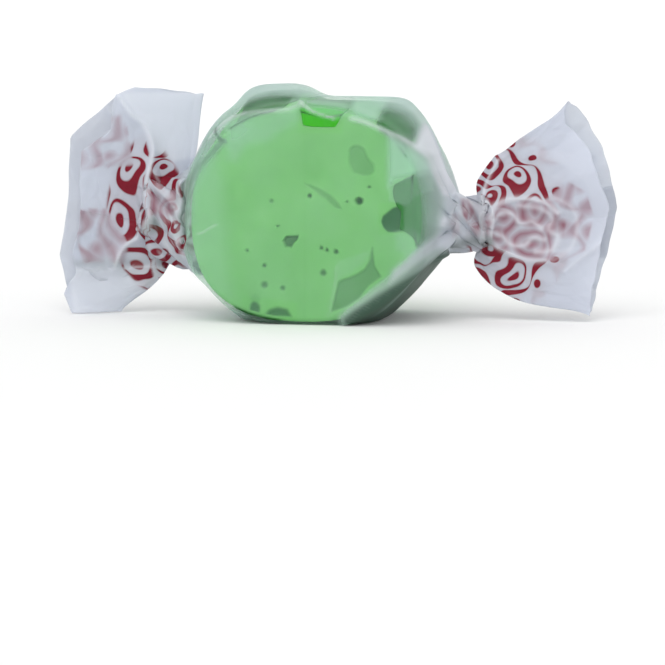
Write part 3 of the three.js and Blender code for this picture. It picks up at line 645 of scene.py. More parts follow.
def fan_edge(fan, up):
    """From where the folds of a fan meet to its cut edge, by the angle from the way the fan points."""
    nearest = np.full(up.shape, np.inf)
    for facing, reach in fan["edges"]:
        along = np.cos(up - np.radians(facing))
        nearest = np.where(along > 0.05, np.minimum(nearest, reach / np.maximum(along, 0.05)), nearest)
    return nearest


def fan_places(fan, along, around):
    """Where the paper of a fan is: the angle round it, its place across, and its reach and angle up."""
    turned = around - fan["side"] * np.radians(neck_twist)
    across = np.sin(turned)
    middle = np.radians((fan["from"] + fan["to"]) / 2)
    half = np.radians((fan["to"] - fan["from"]) / 2)
    short = points_along(fan["short"], (np.degrees(turned) + 90) % 360 - 90)
    edge = fan_edge(fan, middle + half * across) - short
    edge = edge + edge_wave * (np.sin(9 * turned + 1) + 0.6 * np.sin(23 * turned))
    reach = mix(neck_length, edge, along)
    fade = np.where(across > 0, fan["flare_fade"], mouth_fade)
    flare = np.radians(np.where(across > 0, fan["flare_high"], fan["flare_low"])) * (1 - along) ** fade
    return turned, across, reach, middle + (half + flare) * across


def fan_points(fan, along, around):
    """The paper of a fan. along goes from 0 at the neck to 1 at the cut edge."""
    turned, across, reach, up = fan_places(fan, along, around)
    openness = mix(throat, fan["mouth"], along**mouth_fade)
    radius = fan["neck_tip"] * (1 + neck_pleat * pleat(around) * (1 - along))
    back = points_along(fan["ribs"], across) * along**rib_fade
    pleats = fan_pleat * pleat(around) * np.exp(-reach / fan_pleat_length)
    back = back + pleats * smoothstep(along, 0, throat_length)
    ring = np.stack(
        [neck_length + 0 * radius, -radius * np.cos(turned), radius * (1 + fan["tall"]) * across], axis=-1
    )
    spread = np.stack(
        [reach * np.cos(up), back - openness * np.cos(turned), reach * np.sin(up)], axis=-1
    )
    opening = smoothstep(along, 0, throat_length) + 0 * turned
    points = mix(ring, spread, opening[..., None])
    lean = np.radians(fan["forward"]) * along
    x = points[..., 0] * np.cos(lean)
    y = points[..., 1] - points[..., 0] * np.sin(lean)
    z = centre_height - neck_drop + points[..., 2]
    return np.stack([fan["side"] * (fan["start"] + x), y, z], axis=-1)


def sheet_angles():
    """The angle round the tube of every column, closer on the front. The sheet's free edge is the first."""
    fine = np.radians(np.linspace(sheet_start, sheet_start + 360 + overlap, 4000))
    passed = np.cumsum(1 + (front_density - 1) * smoothstep(np.cos(fine), -0.1, 0.4))
    passed = (passed - passed[0]) / (passed[-1] - passed[0])
    return np.interp(np.linspace(0, 1, columns + 1), passed, fine)


def body_shares():
    """Where the rows of the body lie between the necks, nearly evenly along its front."""
    fine = np.linspace(0, 1, 3000)
    line = body_points(fine, np.zeros(3000))
    passed = np.concatenate([[0], np.cumsum(np.linalg.norm(np.diff(line, axis=0), axis=1))])
    share = mix(fine, passed / passed[-1], evenness)
    return np.interp(np.linspace(0, 1, body_rows + 1), share, fine)


def paper_grid():
    """Points of the sheet from the right fan's cut edge to the left one's, and their angle round it."""
    around = sheet_angles()[None, :]
    fan_along = np.linspace(1, 0, fan_rows + 1)[:, None]
    neck_along = np.linspace(1, 0, neck_rows + 1)[1:, None]
    body_along = body_shares()[1:, None]
    left_along = fan_along[::-1][1:]
    # The seam swings down in the left fan, so the first columns move round as the fan opens
    from_seam = np.linspace(0, 1, columns + 1)[None, :]
    swing = np.radians(seam_swing) * left_along**2 * (1 - from_seam) ** 4
    points = np.concatenate([
        fan_points(right_fan, fan_along, around),
        neck_points(right_fan, neck_along, around),
        body_points(body_along, around),
        neck_points(left_fan, neck_along[::-1][1:], around),
        neck_points(left_fan, np.ones((1, 1)), around),
        fan_points(left_fan, left_along, around + swing),
    ])
    # The angle round the tube, as it is after the twist
    turned = np.repeat(around, points.shape[0], axis=0)
    turned[: fan_rows + 1] = fan_places(right_fan, fan_along, around)[0]
    turned[-fan_rows:] = fan_places(left_fan, left_along, around + swing)[0]
    return points, turned


def soothed(grid, passes=2):
    """A grid whose values on the body are drawn a little to their neighbours, so that folds run evenly."""
    inner = slice(fan_rows + 2, -fan_rows - 2)
    for _ in range(passes):
        for axis in (0, 1):
            before, after = np.roll(grid, 1, axis), np.roll(grid, -1, axis)
            mean = (before + 2 * grid + after) / 4
            mean[:, 0], mean[:, -1] = grid[:, 0], grid[:, -1]
            grid = np.concatenate([grid[: inner.start], mean[inner], grid[inner.stop :]])
    return grid


def fold_sheet(points, normal):
    """Raises the folds of the sheet. Gives the points, how milky they are, and how dark the painted shade
    makes them.
    """
    x, y, z = np.moveaxis(points, -1, 0)
    front, back = (smoothstep(side * normal[..., 1], *facing_share) for side in (-1, 1))
    raised, milky = np.zeros((2, *x.shape))
    blunt = mix(body_fold_blunt, fold_blunt, smoothstep(abs(x), *blunt_x))
    for fold in folds:
        away = distance_to_path(x, z, curved(fold["path"]))
        facing = back if fold.get("back") else front
        raised += facing * fold["height"] * np.exp((blunt - np.hypot(away, blunt)) / fold["run"])
        milky = np.maximum(milky, facing * fold["milky"] * np.exp(-((away / fold["wide"]) ** 2)))
    # Painted shade: what faces down behind the lower right crease, the dark zones, and the shades' lines
    faces_down = smoothstep(-normal[..., 2], *below_facing)
    dark = shaded_below * faces_down * between(x, *below_x) * between(y, *below_y)
    for zone in zones:
        dark = np.maximum(dark, zone.get("dark", 0) * zone_share(zone, points))
    for shade in shades:
        away = distance_to_path(x, z, curved(shade["path"]))
        dark = np.maximum(dark, shade["dark"] * np.exp(-((away / shade["run"]) ** 2)))
    points = points + normal * soothed(raised, 1)[..., None]
    return points, milky, dark * mix(1, front, points[..., 1] < dark_ahead)


def grid_normals(points):
    """Outward normals of a grid of points."""
    down = np.gradient(points, axis=0)
    along = np.gradient(points, axis=1)
    normal = np.cross(along, down)
    length = np.linalg.norm(normal, axis=-1, keepdims=True)
    return normal / np.maximum(length, 1e-9)


def taffy_gap(points):
    """Distance from the paper to the taffy inside it, roughly."""
    x, y, z = points[..., 0], points[..., 1], points[..., 2] - centre_height
    half = slice_depth / 2 - paper_room
    beyond = np.maximum(0, np.hypot(x, z) - slice_reach(np.arctan2(x, z), np.clip(y, -half, half)))
    before = np.maximum(0, abs(y) - half)
    return np.hypot(beyond, before)


def clearness(points, gap, fan, milky):
    """How clearly the whole sheet shows what lies under it: most on the cut faces, least where it stands
    free. Each of its two skins gets the square root of that. Also how near the taffy is, as the share of a
    painted green glow from it."""
    x, y, _ = np.moveaxis(points, -1, 0)
    near = np.exp(-((gap / clear_fade) ** clear_power))
    outer, inner = face_border
    on_face = smoothstep(abs(y), slice_depth / 2 - outer, slice_depth / 2 - inner)
    clear = mix(clear_free, clear_touching, near) * mix(side_clearness, 1, on_face)
    in_belt = 1 - smoothstep(abs(y), *belt_width)
    clear = clear * mix(1, belt_clearness, in_belt)
    near = near * mix(1, belt_painted_glow, in_belt)
    for zone in zones:
        there = zone_share(zone, points)
        clear = clear * mix(1, zone["left"], there)
        near = near * mix(1, zone.get("painted_glow", 1), there)
    clear = mix(np.where(fan, clear_fan, clear), clear_neck, between(abs(x), *neck_x))
    return np.clip(clear, 0, 0.97) * (1 - milky), np.where(fan, 0, near)


def shell_faces(rows, across):
    """Faces of a closed shell of two grids of points, the outer first, joined along their four edges."""
    index = np.arange(rows * across).reshape(rows, across)
    a, b = index[:-1, :-1].ravel(), index[:-1, 1:].ravel()
    c, d = index[1:, 1:].ravel(), index[1:, :-1].ravel()
    inner = rows * across
    quads = [np.stack([a, b, c, d], 1), np.stack([d, c, b, a], 1) + inner]
    for line, flip in (
        (index[0], False), (index[-1], True), (index[:, 0], True), (index[:, -1], False),
    ):
        p, q = line[:-1], line[1:]
        strip = np.stack([q, p, p + inner, q + inner], 1)
        quads.append(strip[:, ::-1] if flip else strip)
    return np.concatenate(quads)


def make_object(name, points, faces, flat=0):
    """A smooth mesh object from points in millimetres. The last faces, as many as flat says, stay flat."""
    mesh = bpy.data.meshes.new(name)
    mesh.from_pydata((points * MM).tolist(), [], faces.tolist() if hasattr(faces, "tolist") else faces)
    mesh.polygons.foreach_set("use_smooth", [True] * (len(mesh.polygons) - flat) + [False] * flat)
    mesh.update()
    made = bpy.data.objects.new(name, mesh)
    bpy.context.scene.collection.objects.link(made)
    return made


def put_attribute(made, name, values):
    """Stores a number, or a vector, for each point of a mesh."""
    values = np.asarray(values, np.float32)
    kind = "FLOAT_VECTOR" if values.ndim > 1 else "FLOAT"
    attribute = made.data.attributes.new(name, kind, "POINT")
    attribute.data.foreach_set("vector" if values.ndim > 1 else "value", values.ravel())


def put_uv(made, name, values):
    """Stores a UV map from one pair of numbers for each point."""
    corner = np.zeros(len(made.data.loops), int)
    made.data.loops.foreach_get("vertex_index", corner)
    layer = made.data.uv_layers.new(name=name)
    layer.data.foreach_set("uv", np.asarray(values, np.float32)[corner].ravel())


def linear(hex_colour):
    """sRGB hex to the linear colour that Blender's sockets take."""
    parts = [int(hex_colour[i : i + 2], 16) / 255 for i in (1, 3, 5)]
    return [p / 12.92 if p <= 0.04045 else ((p + 0.055) / 1.055) ** 2.4 for p in parts] + [1.0]


def add(tree, kind, links=None, **settings):
    """Adds a node with its settings. links gives each input socket a value, another node's output, or a
    node, whose first output is meant."""
    node = tree.nodes.new(kind)
    for setting, value in settings.items():
        setattr(node, setting, value)
    for socket, value in (links or {}).items():
        if isinstance(value, bpy.types.Node):
            value = value.outputs[0]
        if isinstance(value, bpy.types.NodeSocket):
            tree.links.new(value, node.inputs[socket])
        else:
            node.inputs[socket].default_value = value
    return node


def new_material(name):
    material = bpy.data.materials.new(name)
    material.use_nodes = True
    material.node_tree.nodes.clear()
    return material, material.node_tree


def border_distance(tree, place, rows, waves):
    """Distance in millimetres to the ink of a border of loops, waves and dots, less than 0 in the ink."""
    split = add(tree, "ShaderNodeSeparateXYZ", {0: place})
    edges = []
    for out, pitch, radius, aside, opening, dot in rows:
        row = add(tree, "ShaderNodeMath", {0: split.outputs["Y"], 1: out / loop_row}, operation="MULTIPLY")
        moved = add(tree, "ShaderNodeMath", {0: row, 1: out * row_shift}, operation="ADD")
        wrapped = add(tree, "ShaderNodeMath", {0: moved, 1: pitch / 2, 2: -pitch / 2}, operation="WRAP")
        from_row = add(tree, "ShaderNodeMath", {0: split, 1: out}, operation="SUBTRACT")
        local = add(tree, "ShaderNodeCombineXYZ", {0: from_row, 1: wrapped})
        length = add(tree, "ShaderNodeVectorMath", {0: local}, operation="LENGTH").outputs["Value"]
        outside = add(tree, "ShaderNodeMath", {0: length, 1: radius}, operation="SUBTRACT")
        off_middle = add(tree, "ShaderNodeVectorMath", {0: local, 1: (*aside, 0)}, operation="DISTANCE")
        inner = off_middle.outputs["Value"]
        ring = add(tree, "ShaderNodeMath", {0: opening, 1: inner}, operation="SUBTRACT")
        middle = add(tree, "ShaderNodeMath", {0: inner, 1: dot}, operation="SUBTRACT")
        inside = add(tree, "ShaderNodeMath", {0: ring, 1: middle}, operation="MINIMUM")
        edges.append(add(tree, "ShaderNodeMath", {0: outside, 1: inside}, operation="MAXIMUM"))
    for out, length, height, stroke in waves:
        around = 2 * np.pi * out / loop_row / length
        turn = add(tree, "ShaderNodeMath", {0: split.outputs["Y"], 1: around}, operation="MULTIPLY")
        swing = add(tree, "ShaderNodeMath", {0: turn}, operation="SINE")
        line = add(tree, "ShaderNodeMath", {0: swing, 1: height, 2: out}, operation="MULTIPLY_ADD")
        from_line = add(tree, "ShaderNodeMath", {0: split, 1: line}, operation="SUBTRACT")
        away = add(tree, "ShaderNodeMath", {0: from_line}, operation="ABSOLUTE")
        thin = add(tree, "ShaderNodeMath", {0: turn, 1: 0.9}, operation="ADD")
        pulse = add(tree, "ShaderNodeMath", {0: thin}, operation="COSINE")
        half = add(tree, "ShaderNodeMath", {0: pulse, 1: stroke * 0.8, 2: stroke}, operation="MULTIPLY_ADD")
        edges.append(add(tree, "ShaderNodeMath", {0: away, 1: half}, operation="SUBTRACT"))
    nearest = edges[0]
    for edge in edges[1:]:
        nearest = add(tree, "ShaderNodeMath", {0: nearest, 1: edge}, operation="MINIMUM")
    return nearest


def wax_paper_material():
    """Wax paper, 0.05 mm, calendered and dipped: cool white and milky where it stands free, and nearly
    clear where the wax lies on the taffy. It is printed in crimson on the outer side alone, so the print
    looks pink and soft through the paper."""
    material, tree = new_material("waxed_twisting_paper")
    clear, near, dark, crest, pale, hidden, printed = (
        add(tree, "ShaderNodeAttribute", attribute_name=name).outputs["Fac"]
        for name in ("clear", "near", "dark", "crest", "pale", "hidden", "printed")
    )

    # The border, drawn as if by hand: sharp on the outer side, soft and with more motifs from behind
    place = add(tree, "ShaderNodeUVMap", uv_map="print")
    hand = add(tree, "ShaderNodeTexNoise", {"Vector": place, "Scale": 0.22, "Detail": 1.5},
               noise_dimensions="2D")
    wobble = add(tree, "ShaderNodeVectorMath", {0: hand.outputs["Color"], 1: (0.5, 0.5, 0.5)},
                 operation="SUBTRACT")
    drawn = add(tree, "ShaderNodeVectorMath", {0: wobble, 1: (2.4, 2.4, 0), 2: place},
                operation="MULTIPLY_ADD")
    edge = border_distance(tree, drawn, print_rows, print_waves)
    far_edge = border_distance(tree, drawn, far_rows, far_waves)
    sharp = add(tree, "ShaderNodeMapRange", {0: edge, 1: 0.06, 2: -0.06, 3: 0.0, 4: 1.0})
    either = add(tree, "ShaderNodeMath", {0: edge, 1: far_edge}, operation="MINIMUM")
    soft = add(tree, "ShaderNodeMapRange", {0: either, 1: 0.6, 2: -0.35, 3: 0.0, 4: soft_ink})
    side = add(tree, "ShaderNodeMix", {0: hidden, 2: sharp, 3: soft})
    ink = add(tree, "ShaderNodeMath", {0: side, 1: printed}, operation="MULTIPLY")

    # How much is seen through the paper: ink, painted shade and clouds in the wax take some of its
    # clearness
    sheet = add(tree, "ShaderNodeUVMap", uv_map="sheet")
    cloud = add(tree, "ShaderNodeTexNoise", {"Vector": sheet, "Scale": 0.16, "Detail": 4.0}).outputs["Fac"]
    see = add(tree, "ShaderNodeMapRange", {0: cloud, 1: 0.35, 2: 0.6, 3: 0.96, 4: 1.0})
    see = add(tree, "ShaderNodeMath", {0: see, 1: clear}, operation="MULTIPLY")
    for hiding in (ink, dark):
        left = add(tree, "ShaderNodeMath", {0: 1.0, 1: hiding}, operation="SUBTRACT")
        see = add(tree, "ShaderNodeMath", {0: see, 1: left}, operation="MULTIPLY")

    # Its colour: the free paper, then a painted green glow of the taffy close below, painted light where
    # the wax is palest, the ink, which is pink from behind, the white of the creases, in part a painted
    # highlight, and painted shade
    free = add(tree, "ShaderNodeMix", {0: cloud, 6: linear("#dde1ec"), 7: linear("#e8ecf5")},
               data_type="RGBA")
    inked = add(tree, "ShaderNodeMix", {0: hidden, 6: linear("#900026"), 7: linear("#9c4660")},
                data_type="RGBA")
    colour = free.outputs[2]
    for share, over in (
        (near, linear("#ccf2e0")),
        (pale, linear("#f0f3fa")),
        (ink, inked.outputs[2]),
        (crest, linear("#f0f3fa")),
        (dark, linear("#3a5c48")),
    ):
        colour = add(tree, "ShaderNodeMix", {0: share, 6: colour, 7: over}, data_type="RGBA").outputs[2]

    # Fibre clouds about 0.5 mm across and the faint crackle of the wax
    fibre = add(tree, "ShaderNodeTexNoise", {"Vector": sheet, "Scale": 0.8, "Detail": 2.0})
    crackle = add(tree, "ShaderNodeTexVoronoi", {"Vector": sheet, "Scale": 0.35},
                  feature="DISTANCE_TO_EDGE")
    height = add(tree, "ShaderNodeMath", {0: fibre.outputs["Fac"], 1: 0.4, 2: crackle.outputs["Distance"]},
                 operation="MULTIPLY_ADD")
    bump = add(tree, "ShaderNodeBump", {"Height": height, "Strength": 0.06, "Distance": 0.0001})

    scatter = add(
        tree, "ShaderNodeBsdfPrincipled",
        {"Base Color": colour, "Roughness": 0.42, "IOR": 1.44, "Normal": bump},
    )
    through = add(tree, "ShaderNodeBsdfTranslucent", {"Color": colour, "Normal": bump})
    paper = add(tree, "ShaderNodeMixShader", {0: 0.35, 1: scatter, 2: through})
    clean = add(tree, "ShaderNodeBsdfTransparent")
    look = add(tree, "ShaderNodeMixShader", {0: see, 1: paper, 2: clean})
    add(tree, "ShaderNodeOutputMaterial", {0: look})
    return material


def taffy_material():
    """Pulled salt water taffy, cut with a warm blade: pale green and satin, a little translucent, with
    faint streaks of the pull and small air holes, painted dark as shade in them."""
    material, tree = new_material("pulled_sugar_taffy")
    place = add(tree, "ShaderNodeTexCoord").outputs["Object"]
    stretched = add(tree, "ShaderNodeMapping", {"Vector": place, "Scale": (1, 0.35, 1)})
    # Streaks about 6 mm long and clouds about 2 mm across
    streak = add(tree, "ShaderNodeTexNoise",
                 {"Vector": stretched, "Scale": 160.0, "Detail": 4.0, "Distortion": 0.6})
    streaky = add(tree, "ShaderNodeMapRange", {0: streak, 1: 0.36, 2: 0.64, 3: 0.0, 4: 1.0})
    cloud = add(tree, "ShaderNodeTexNoise", {"Vector": place, "Scale": 480.0, "Detail": 3.0})
    # Painted shade in the air holes, pits and dents, and the dark green of jelly in some marks
    hollow = add(tree, "ShaderNodeAttribute", attribute_name="hollow").outputs["Fac"]
    pit = add(tree, "ShaderNodeAttribute", attribute_name="pit").outputs["Fac"]
    dark = add(tree, "ShaderNodeMath", {0: hollow, 1: pit}, operation="MAXIMUM")
    colour = linear("#62aa5a")
    for share, over in ((streaky, "#76bc6d"), (cloud, "#6db467"), (dark, "#1f5f33")):
        mixed = add(tree, "ShaderNodeMix", {0: share, 6: colour, 7: linear(over)}, data_type="RGBA")
        colour = mixed.outputs[2]
    grain = add(tree, "ShaderNodeTexNoise", {"Vector": place, "Scale": 2500.0, "Detail": 2.0})
    bump = add(tree, "ShaderNodeBump", {"Height": grain, "Strength": 0.04, "Distance": 0.0001})
    candy = add(
        tree, "ShaderNodeBsdfPrincipled",
        {"Base Color": colour, "Roughness": 0.6, "IOR": 1.5, "Subsurface Weight": 0.25,
         "Subsurface Radius": (0.8, 1.4, 0.6), "Subsurface Scale": 0.001, "Normal": bump},
    )
    add(tree, "ShaderNodeOutputMaterial", {0: candy})
    return material


def jelly_material():
    """Set pectin jelly, cast and cut with the taffy: dark green and wet looking, brighter where thin."""
    material, tree = new_material("set_pectin_jelly")
    place = add(tree, "ShaderNodeTexCoord").outputs["Object"]
    cloud = add(tree, "ShaderNodeTexNoise", {"Vector": place, "Scale": 330.0, "Detail": 3.0})
    thin = add(tree, "ShaderNodeAttribute", attribute_name="thin").outputs["Fac"]
    colour = linear("#17561c")
    for share, over in ((cloud, "#2a7431"), (thin, "#35b000")):
        mixed = add(tree, "ShaderNodeMix", {0: share, 6: colour, 7: linear(over)}, data_type="RGBA")
        colour = mixed.outputs[2]
    jelly = add(
        tree, "ShaderNodeBsdfPrincipled",
        {"Base Color": colour, "Roughness": 0.3, "IOR": 1.42, "Specular IOR Level": 0.08,
         "Subsurface Weight": 0.3, "Subsurface Radius": (0.5, 1.2, 0.4), "Subsurface Scale": 0.001},
    )
    add(tree, "ShaderNodeOutputMaterial", {0: jelly})
    return material


def new_shaping_tree(name, sizes):
    """An empty Geometry Nodes tree with a mesh in and out and a named input for each size."""
    tree = bpy.data.node_groups.new(name, "GeometryNodeTree")
    tree.interface.new_socket("Mesh", in_out="INPUT", socket_type="NodeSocketGeometry")
    for label, (kind, value) in sizes.items():
        tree.interface.new_socket(label, in_out="INPUT", socket_type=kind).default_value = value
    tree.interface.new_socket("Mesh", in_out="OUTPUT", socket_type="NodeSocketGeometry")
    return tree


def crinkle_tree(material):
    """Crumples the sheet into small flat facets, less where the paper sticks to the taffy."""
    tree = new_shaping_tree("paper_crinkle", {
        "Facet Size": ("NodeSocketFloat", 3.0),
        "Height": ("NodeSocketFloat", 0.0001),
        "Seed": ("NodeSocketFloat", 3.0),
    })
    source = add(tree, "NodeGroupInput").outputs
    flat = add(tree, "GeometryNodeInputNamedAttribute", {"Name": "flat"}, data_type="FLOAT_VECTOR")
    outward = add(tree, "GeometryNodeInputNamedAttribute", {"Name": "outward"}, data_type="FLOAT_VECTOR")
    free = add(tree, "GeometryNodeInputNamedAttribute", {"Name": "free"}, data_type="FLOAT")
    scale = add(tree, "ShaderNodeMath", {0: 1.0, 1: source["Facet Size"]}, operation="DIVIDE")
    facets = add(
        tree, "ShaderNodeTexVoronoi",
        {"Vector": flat, "W": source["Seed"], "Scale": scale},
        voronoi_dimensions="4D", feature="DISTANCE_TO_EDGE",
    )
    high = add(tree, "ShaderNodeMath", {0: facets.outputs["Distance"], 1: 0.3}, operation="SUBTRACT")
    held = add(tree, "ShaderNodeMath", {0: high, 1: free}, operation="MULTIPLY")
    lift = add(tree, "ShaderNodeMath", {0: held, 1: source["Height"]}, operation="MULTIPLY")
    offset = add(tree, "ShaderNodeVectorMath", {0: outward, "Scale": lift}, operation="SCALE")
    moved = add(tree, "GeometryNodeSetPosition", {"Geometry": source["Mesh"], "Offset": offset})
    real = add(tree, "GeometryNodeRealizeInstances", {0: moved})
    finished = add(tree, "GeometryNodeSetMaterial", {"Geometry": real, "Material": material})
    add(tree, "NodeGroupOutput", {0: finished})
    return tree


def air_hole_tree(material):
    """Presses a scatter of small air holes into a piece of taffy, and stores how deep each point lies,
    which the taffy's colour darkens as painted shade.
    """
    tree = new_shaping_tree("air_holes", {
        "Spacing": ("NodeSocketFloat", 0.0022),
        "Radius": ("NodeSocketFloat", 0.0002),
        "Depth": ("NodeSocketFloat", 0.00012),
        "Share": ("NodeSocketFloat", 0.35),
        "Seed": ("NodeSocketFloat", 5.0),
    })
    source = add(tree, "NodeGroupInput").outputs
    place = add(tree, "GeometryNodeInputPosition")
    scale = add(tree, "ShaderNodeMath", {0: 1.0, 1: source["Spacing"]}, operation="DIVIDE")
    cells = add(
        tree, "ShaderNodeTexVoronoi", {"Vector": place, "W": source["Seed"], "Scale": scale},
        voronoi_dimensions="4D", feature="F1",
    )
    away = add(tree, "ShaderNodeMath", {0: cells.outputs["Distance"], 1: source["Spacing"]},
               operation="MULTIPLY")
    near = add(tree, "ShaderNodeMapRange", {0: away, 1: source["Radius"], 2: 0.0, 3: 0.0, 4: 1.0},
               interpolation_type="SMOOTHSTEP")
    colour = add(tree, "FunctionNodeSeparateColor", {0: cells.outputs["Color"]})
    chosen = add(tree, "ShaderNodeMath", {0: colour, 1: source["Share"]}, operation="LESS_THAN")
    pit = add(tree, "ShaderNodeMath", {0: near, 1: chosen}, operation="MULTIPLY")
    inward = add(tree, "ShaderNodeMath", {0: pit, 1: source["Depth"]}, operation="MULTIPLY")
    down = add(tree, "ShaderNodeMath", {0: inward, 1: -1.0}, operation="MULTIPLY")
    normal = add(tree, "GeometryNodeInputNormal")
    offset = add(tree, "ShaderNodeVectorMath", {0: normal, "Scale": down}, operation="SCALE")
    stored = add(tree, "GeometryNodeStoreNamedAttribute",
                 {"Geometry": source["Mesh"], "Name": "pit", "Value": pit},
                 data_type="FLOAT", domain="POINT")
    moved = add(tree, "GeometryNodeSetPosition", {"Geometry": stored, "Offset": offset})
    real = add(tree, "GeometryNodeRealizeInstances", {0: moved})
    finished = add(tree, "GeometryNodeSetMaterial", {"Geometry": real, "Material": material})
    add(tree, "NodeGroupOutput", {0: finished})
    return tree


def shape_with(made, tree, sizes):
    """Runs a tree on a piece with these inputs and keeps the result as the piece's own plain mesh."""
    modifier = made.modifiers.new(tree.name, "NODES")
    modifier.node_group = tree
    for item in tree.interface.items_tree:
        if item.in_out == "INPUT" and item.name in sizes:
            modifier[item.identifier] = sizes[item.name]
    evaluated = made.evaluated_get(bpy.context.evaluated_depsgraph_get())
    plain = bpy.data.meshes.new_from_object(evaluated)
    made.modifiers.remove(modifier)
    old = made.data
    made.data = plain
    bpy.data.meshes.remove(old)
    plain.name = made.name


def stripe_turn(stripe, y):
    """How far round a stripe lies at y from where it lies in the middle of the slice."""
    swung = stripe.get("swing", 0) * np.exp(-(y + slice_depth / 2) / swing_length)
    return swung - stripe_sway * np.sin(y / sway_length)


def stripe_depth(turn, y, grow):
    """How deep the groove of each stripe is at an angle from the top, the deepest one where they meet."""
    deep = np.zeros(np.broadcast(turn, y).shape)
    for stripe in jelly_stripes.values():
        table = stripe["side"]
        middle = (table[0][0] + table[-1][0]) / 2
        local = (np.degrees(turn) - stripe_turn(stripe, y) - middle + 180) % 360 - 180 + middle
        depth = groove(stripe, local, y)
        deep = np.maximum(deep, depth + grow * smoothstep(depth, 0, 0.2))
    return deep


def groove(stripe, turn, y):
    """Depth of one stripe's inner side at an angle from the top, with a little waviness along the slice."""
    depth = np.mean([points_along(stripe["side"], turn + d) for d in (-0.5, -0.25, 0, 0.25, 0.5)], axis=0)
    uncovered = mix(stripe["front"], 1, smoothstep(y + slice_depth / 2, cover_start, cover_end))
    return depth * uncovered * (1 + 0.08 * np.sin(y / 2.1 + turn / 9))


def section_profile(rings, side_rows):
    """Steps of a solid from the middle of its front to the middle of its back: share of the outline that
    the flat face reaches, how far the rim is taken in, and y."""
    depth = slice_depth / 2 - paper_room
    steps = [(s, rim_round, -depth) for s in np.linspace(0, 1, rings + 1)[1:]]
    for angle in np.linspace(0, np.pi / 2, 6)[1:]:
        steps.append((1, rim_round * (1 - np.sin(angle)), -depth + rim_round * (1 - np.cos(angle))))
    for y in np.linspace(-depth + rim_round, depth - rim_round, side_rows + 1)[1:-1]:
        steps.append((1, 0, y))
    for angle in np.linspace(np.pi / 2, 0, 6)[:-1]:
        steps.append((1, rim_round * (1 - np.sin(angle)), depth - rim_round * (1 - np.cos(angle))))
    steps += [(s, rim_round, depth) for s in np.linspace(1, 0, rings // 2 + 1)[:-1]]
    return steps


def lofted(name, steps, section, around):
    """A closed solid of rings. section(share, taken_in, y) gives a ring's points (x, z) and its middle."""
    rings = []
    for share, taken_in, y in steps:
        ring, _ = section(share, taken_in, y)
        rings.append(ring)
    middle_front = section(0, 0, steps[0][2])[1]
    middle_back = section(0, 0, steps[-1][2])[1]
    points = np.concatenate([middle_front[None], *rings, middle_back[None]])
    last = 1 + (len(rings) - 1) * around
    j = np.arange(around)
    following = (j + 1) % around
    faces = [[0, 1 + int(b), 1 + int(a)] for a, b in zip(j, following)]
    for row in range(1, last, around):
        a, b = row + j, row + following
        faces += np.stack([a, b, b + around, a + around], 1).tolist()
    end = len(points) - 1
    faces += [[end, last + int(a), last + int(b)] for a, b in zip(j, following)]
    return make_object(name, points, faces)


def press_face(points):
    """Presses the listed pits and marks into the two faces. Gives how dark each point is."""
    # How dark each point is painted: shade in the pits and dents, the dark green of jelly in some marks
    dark = np.zeros(len(points))
    x, z = points[:, 0], points[:, 2]
    front, back = (side * points[:, 1] > slice_depth / 2 - paper_room - 0.02 for side in (-1, 1))
    for side, flat, pits in ((-1, front, face_pits), (1, back, back_pits)):
        for px, pz, radius, depth in pits:
            outer, inner = (radius * side_share for side_share in pit_side)
            near = smoothstep(np.hypot(x - px, z - pz), outer, inner) * flat
            points[:, 1] -= side * depth * near
            dark = np.maximum(dark, near * min(1.0, pit_dark + depth))
    for mark in face_marks:
        there = inside_outline(x, z, mark["outline"], mark["soft"]) * front
        points[:, 1] += mark["depth"] * there
        dark = np.maximum(dark, mark["dark"] * there)
    return dark


def make_taffy(material):
    """The slice: a superellipse with a groove for each stripe, rounded at its rims and flat below."""
    around = 540
    turn = np.linspace(0, 2 * np.pi, around, endpoint=False)

    def section(share, taken_in, y):
        full = slice_reach(turn, y)
        deep = stripe_depth(turn, y, jelly_clearance)
        cut = full - deep - taken_in * (1 - smoothstep(deep, 0, 0.5))
        core = face_grid_core * full
        past_core = (share - face_grid_core) / (1 - face_grid_core)
        reach = np.where(share < face_grid_core, share * full, mix(core, cut, past_core))
        x = reach * np.sin(turn)
        z = np.maximum(centre_height + reach * np.cos(turn), flat_below + taken_in)
        ring = np.stack([x, np.full(around, y), z], 1)
        return ring, np.array([0, y, centre_height])

    made = lofted("taffy_slice", section_profile(84, 34), section, around)
    points = np.array([v.co for v in made.data.vertices]) / MM
    dark = press_face(points)
    made.data.vertices.foreach_set("co", (points * MM).astype(np.float32).ravel())
    put_attribute(made, "hollow", dark)
    holes = {"Spacing": 2.4 * MM, "Radius": 0.22 * MM, "Depth": 0.12 * MM, "Seed": 5.0}
    shape_with(made, air_hole_tree(material), holes)
    return made


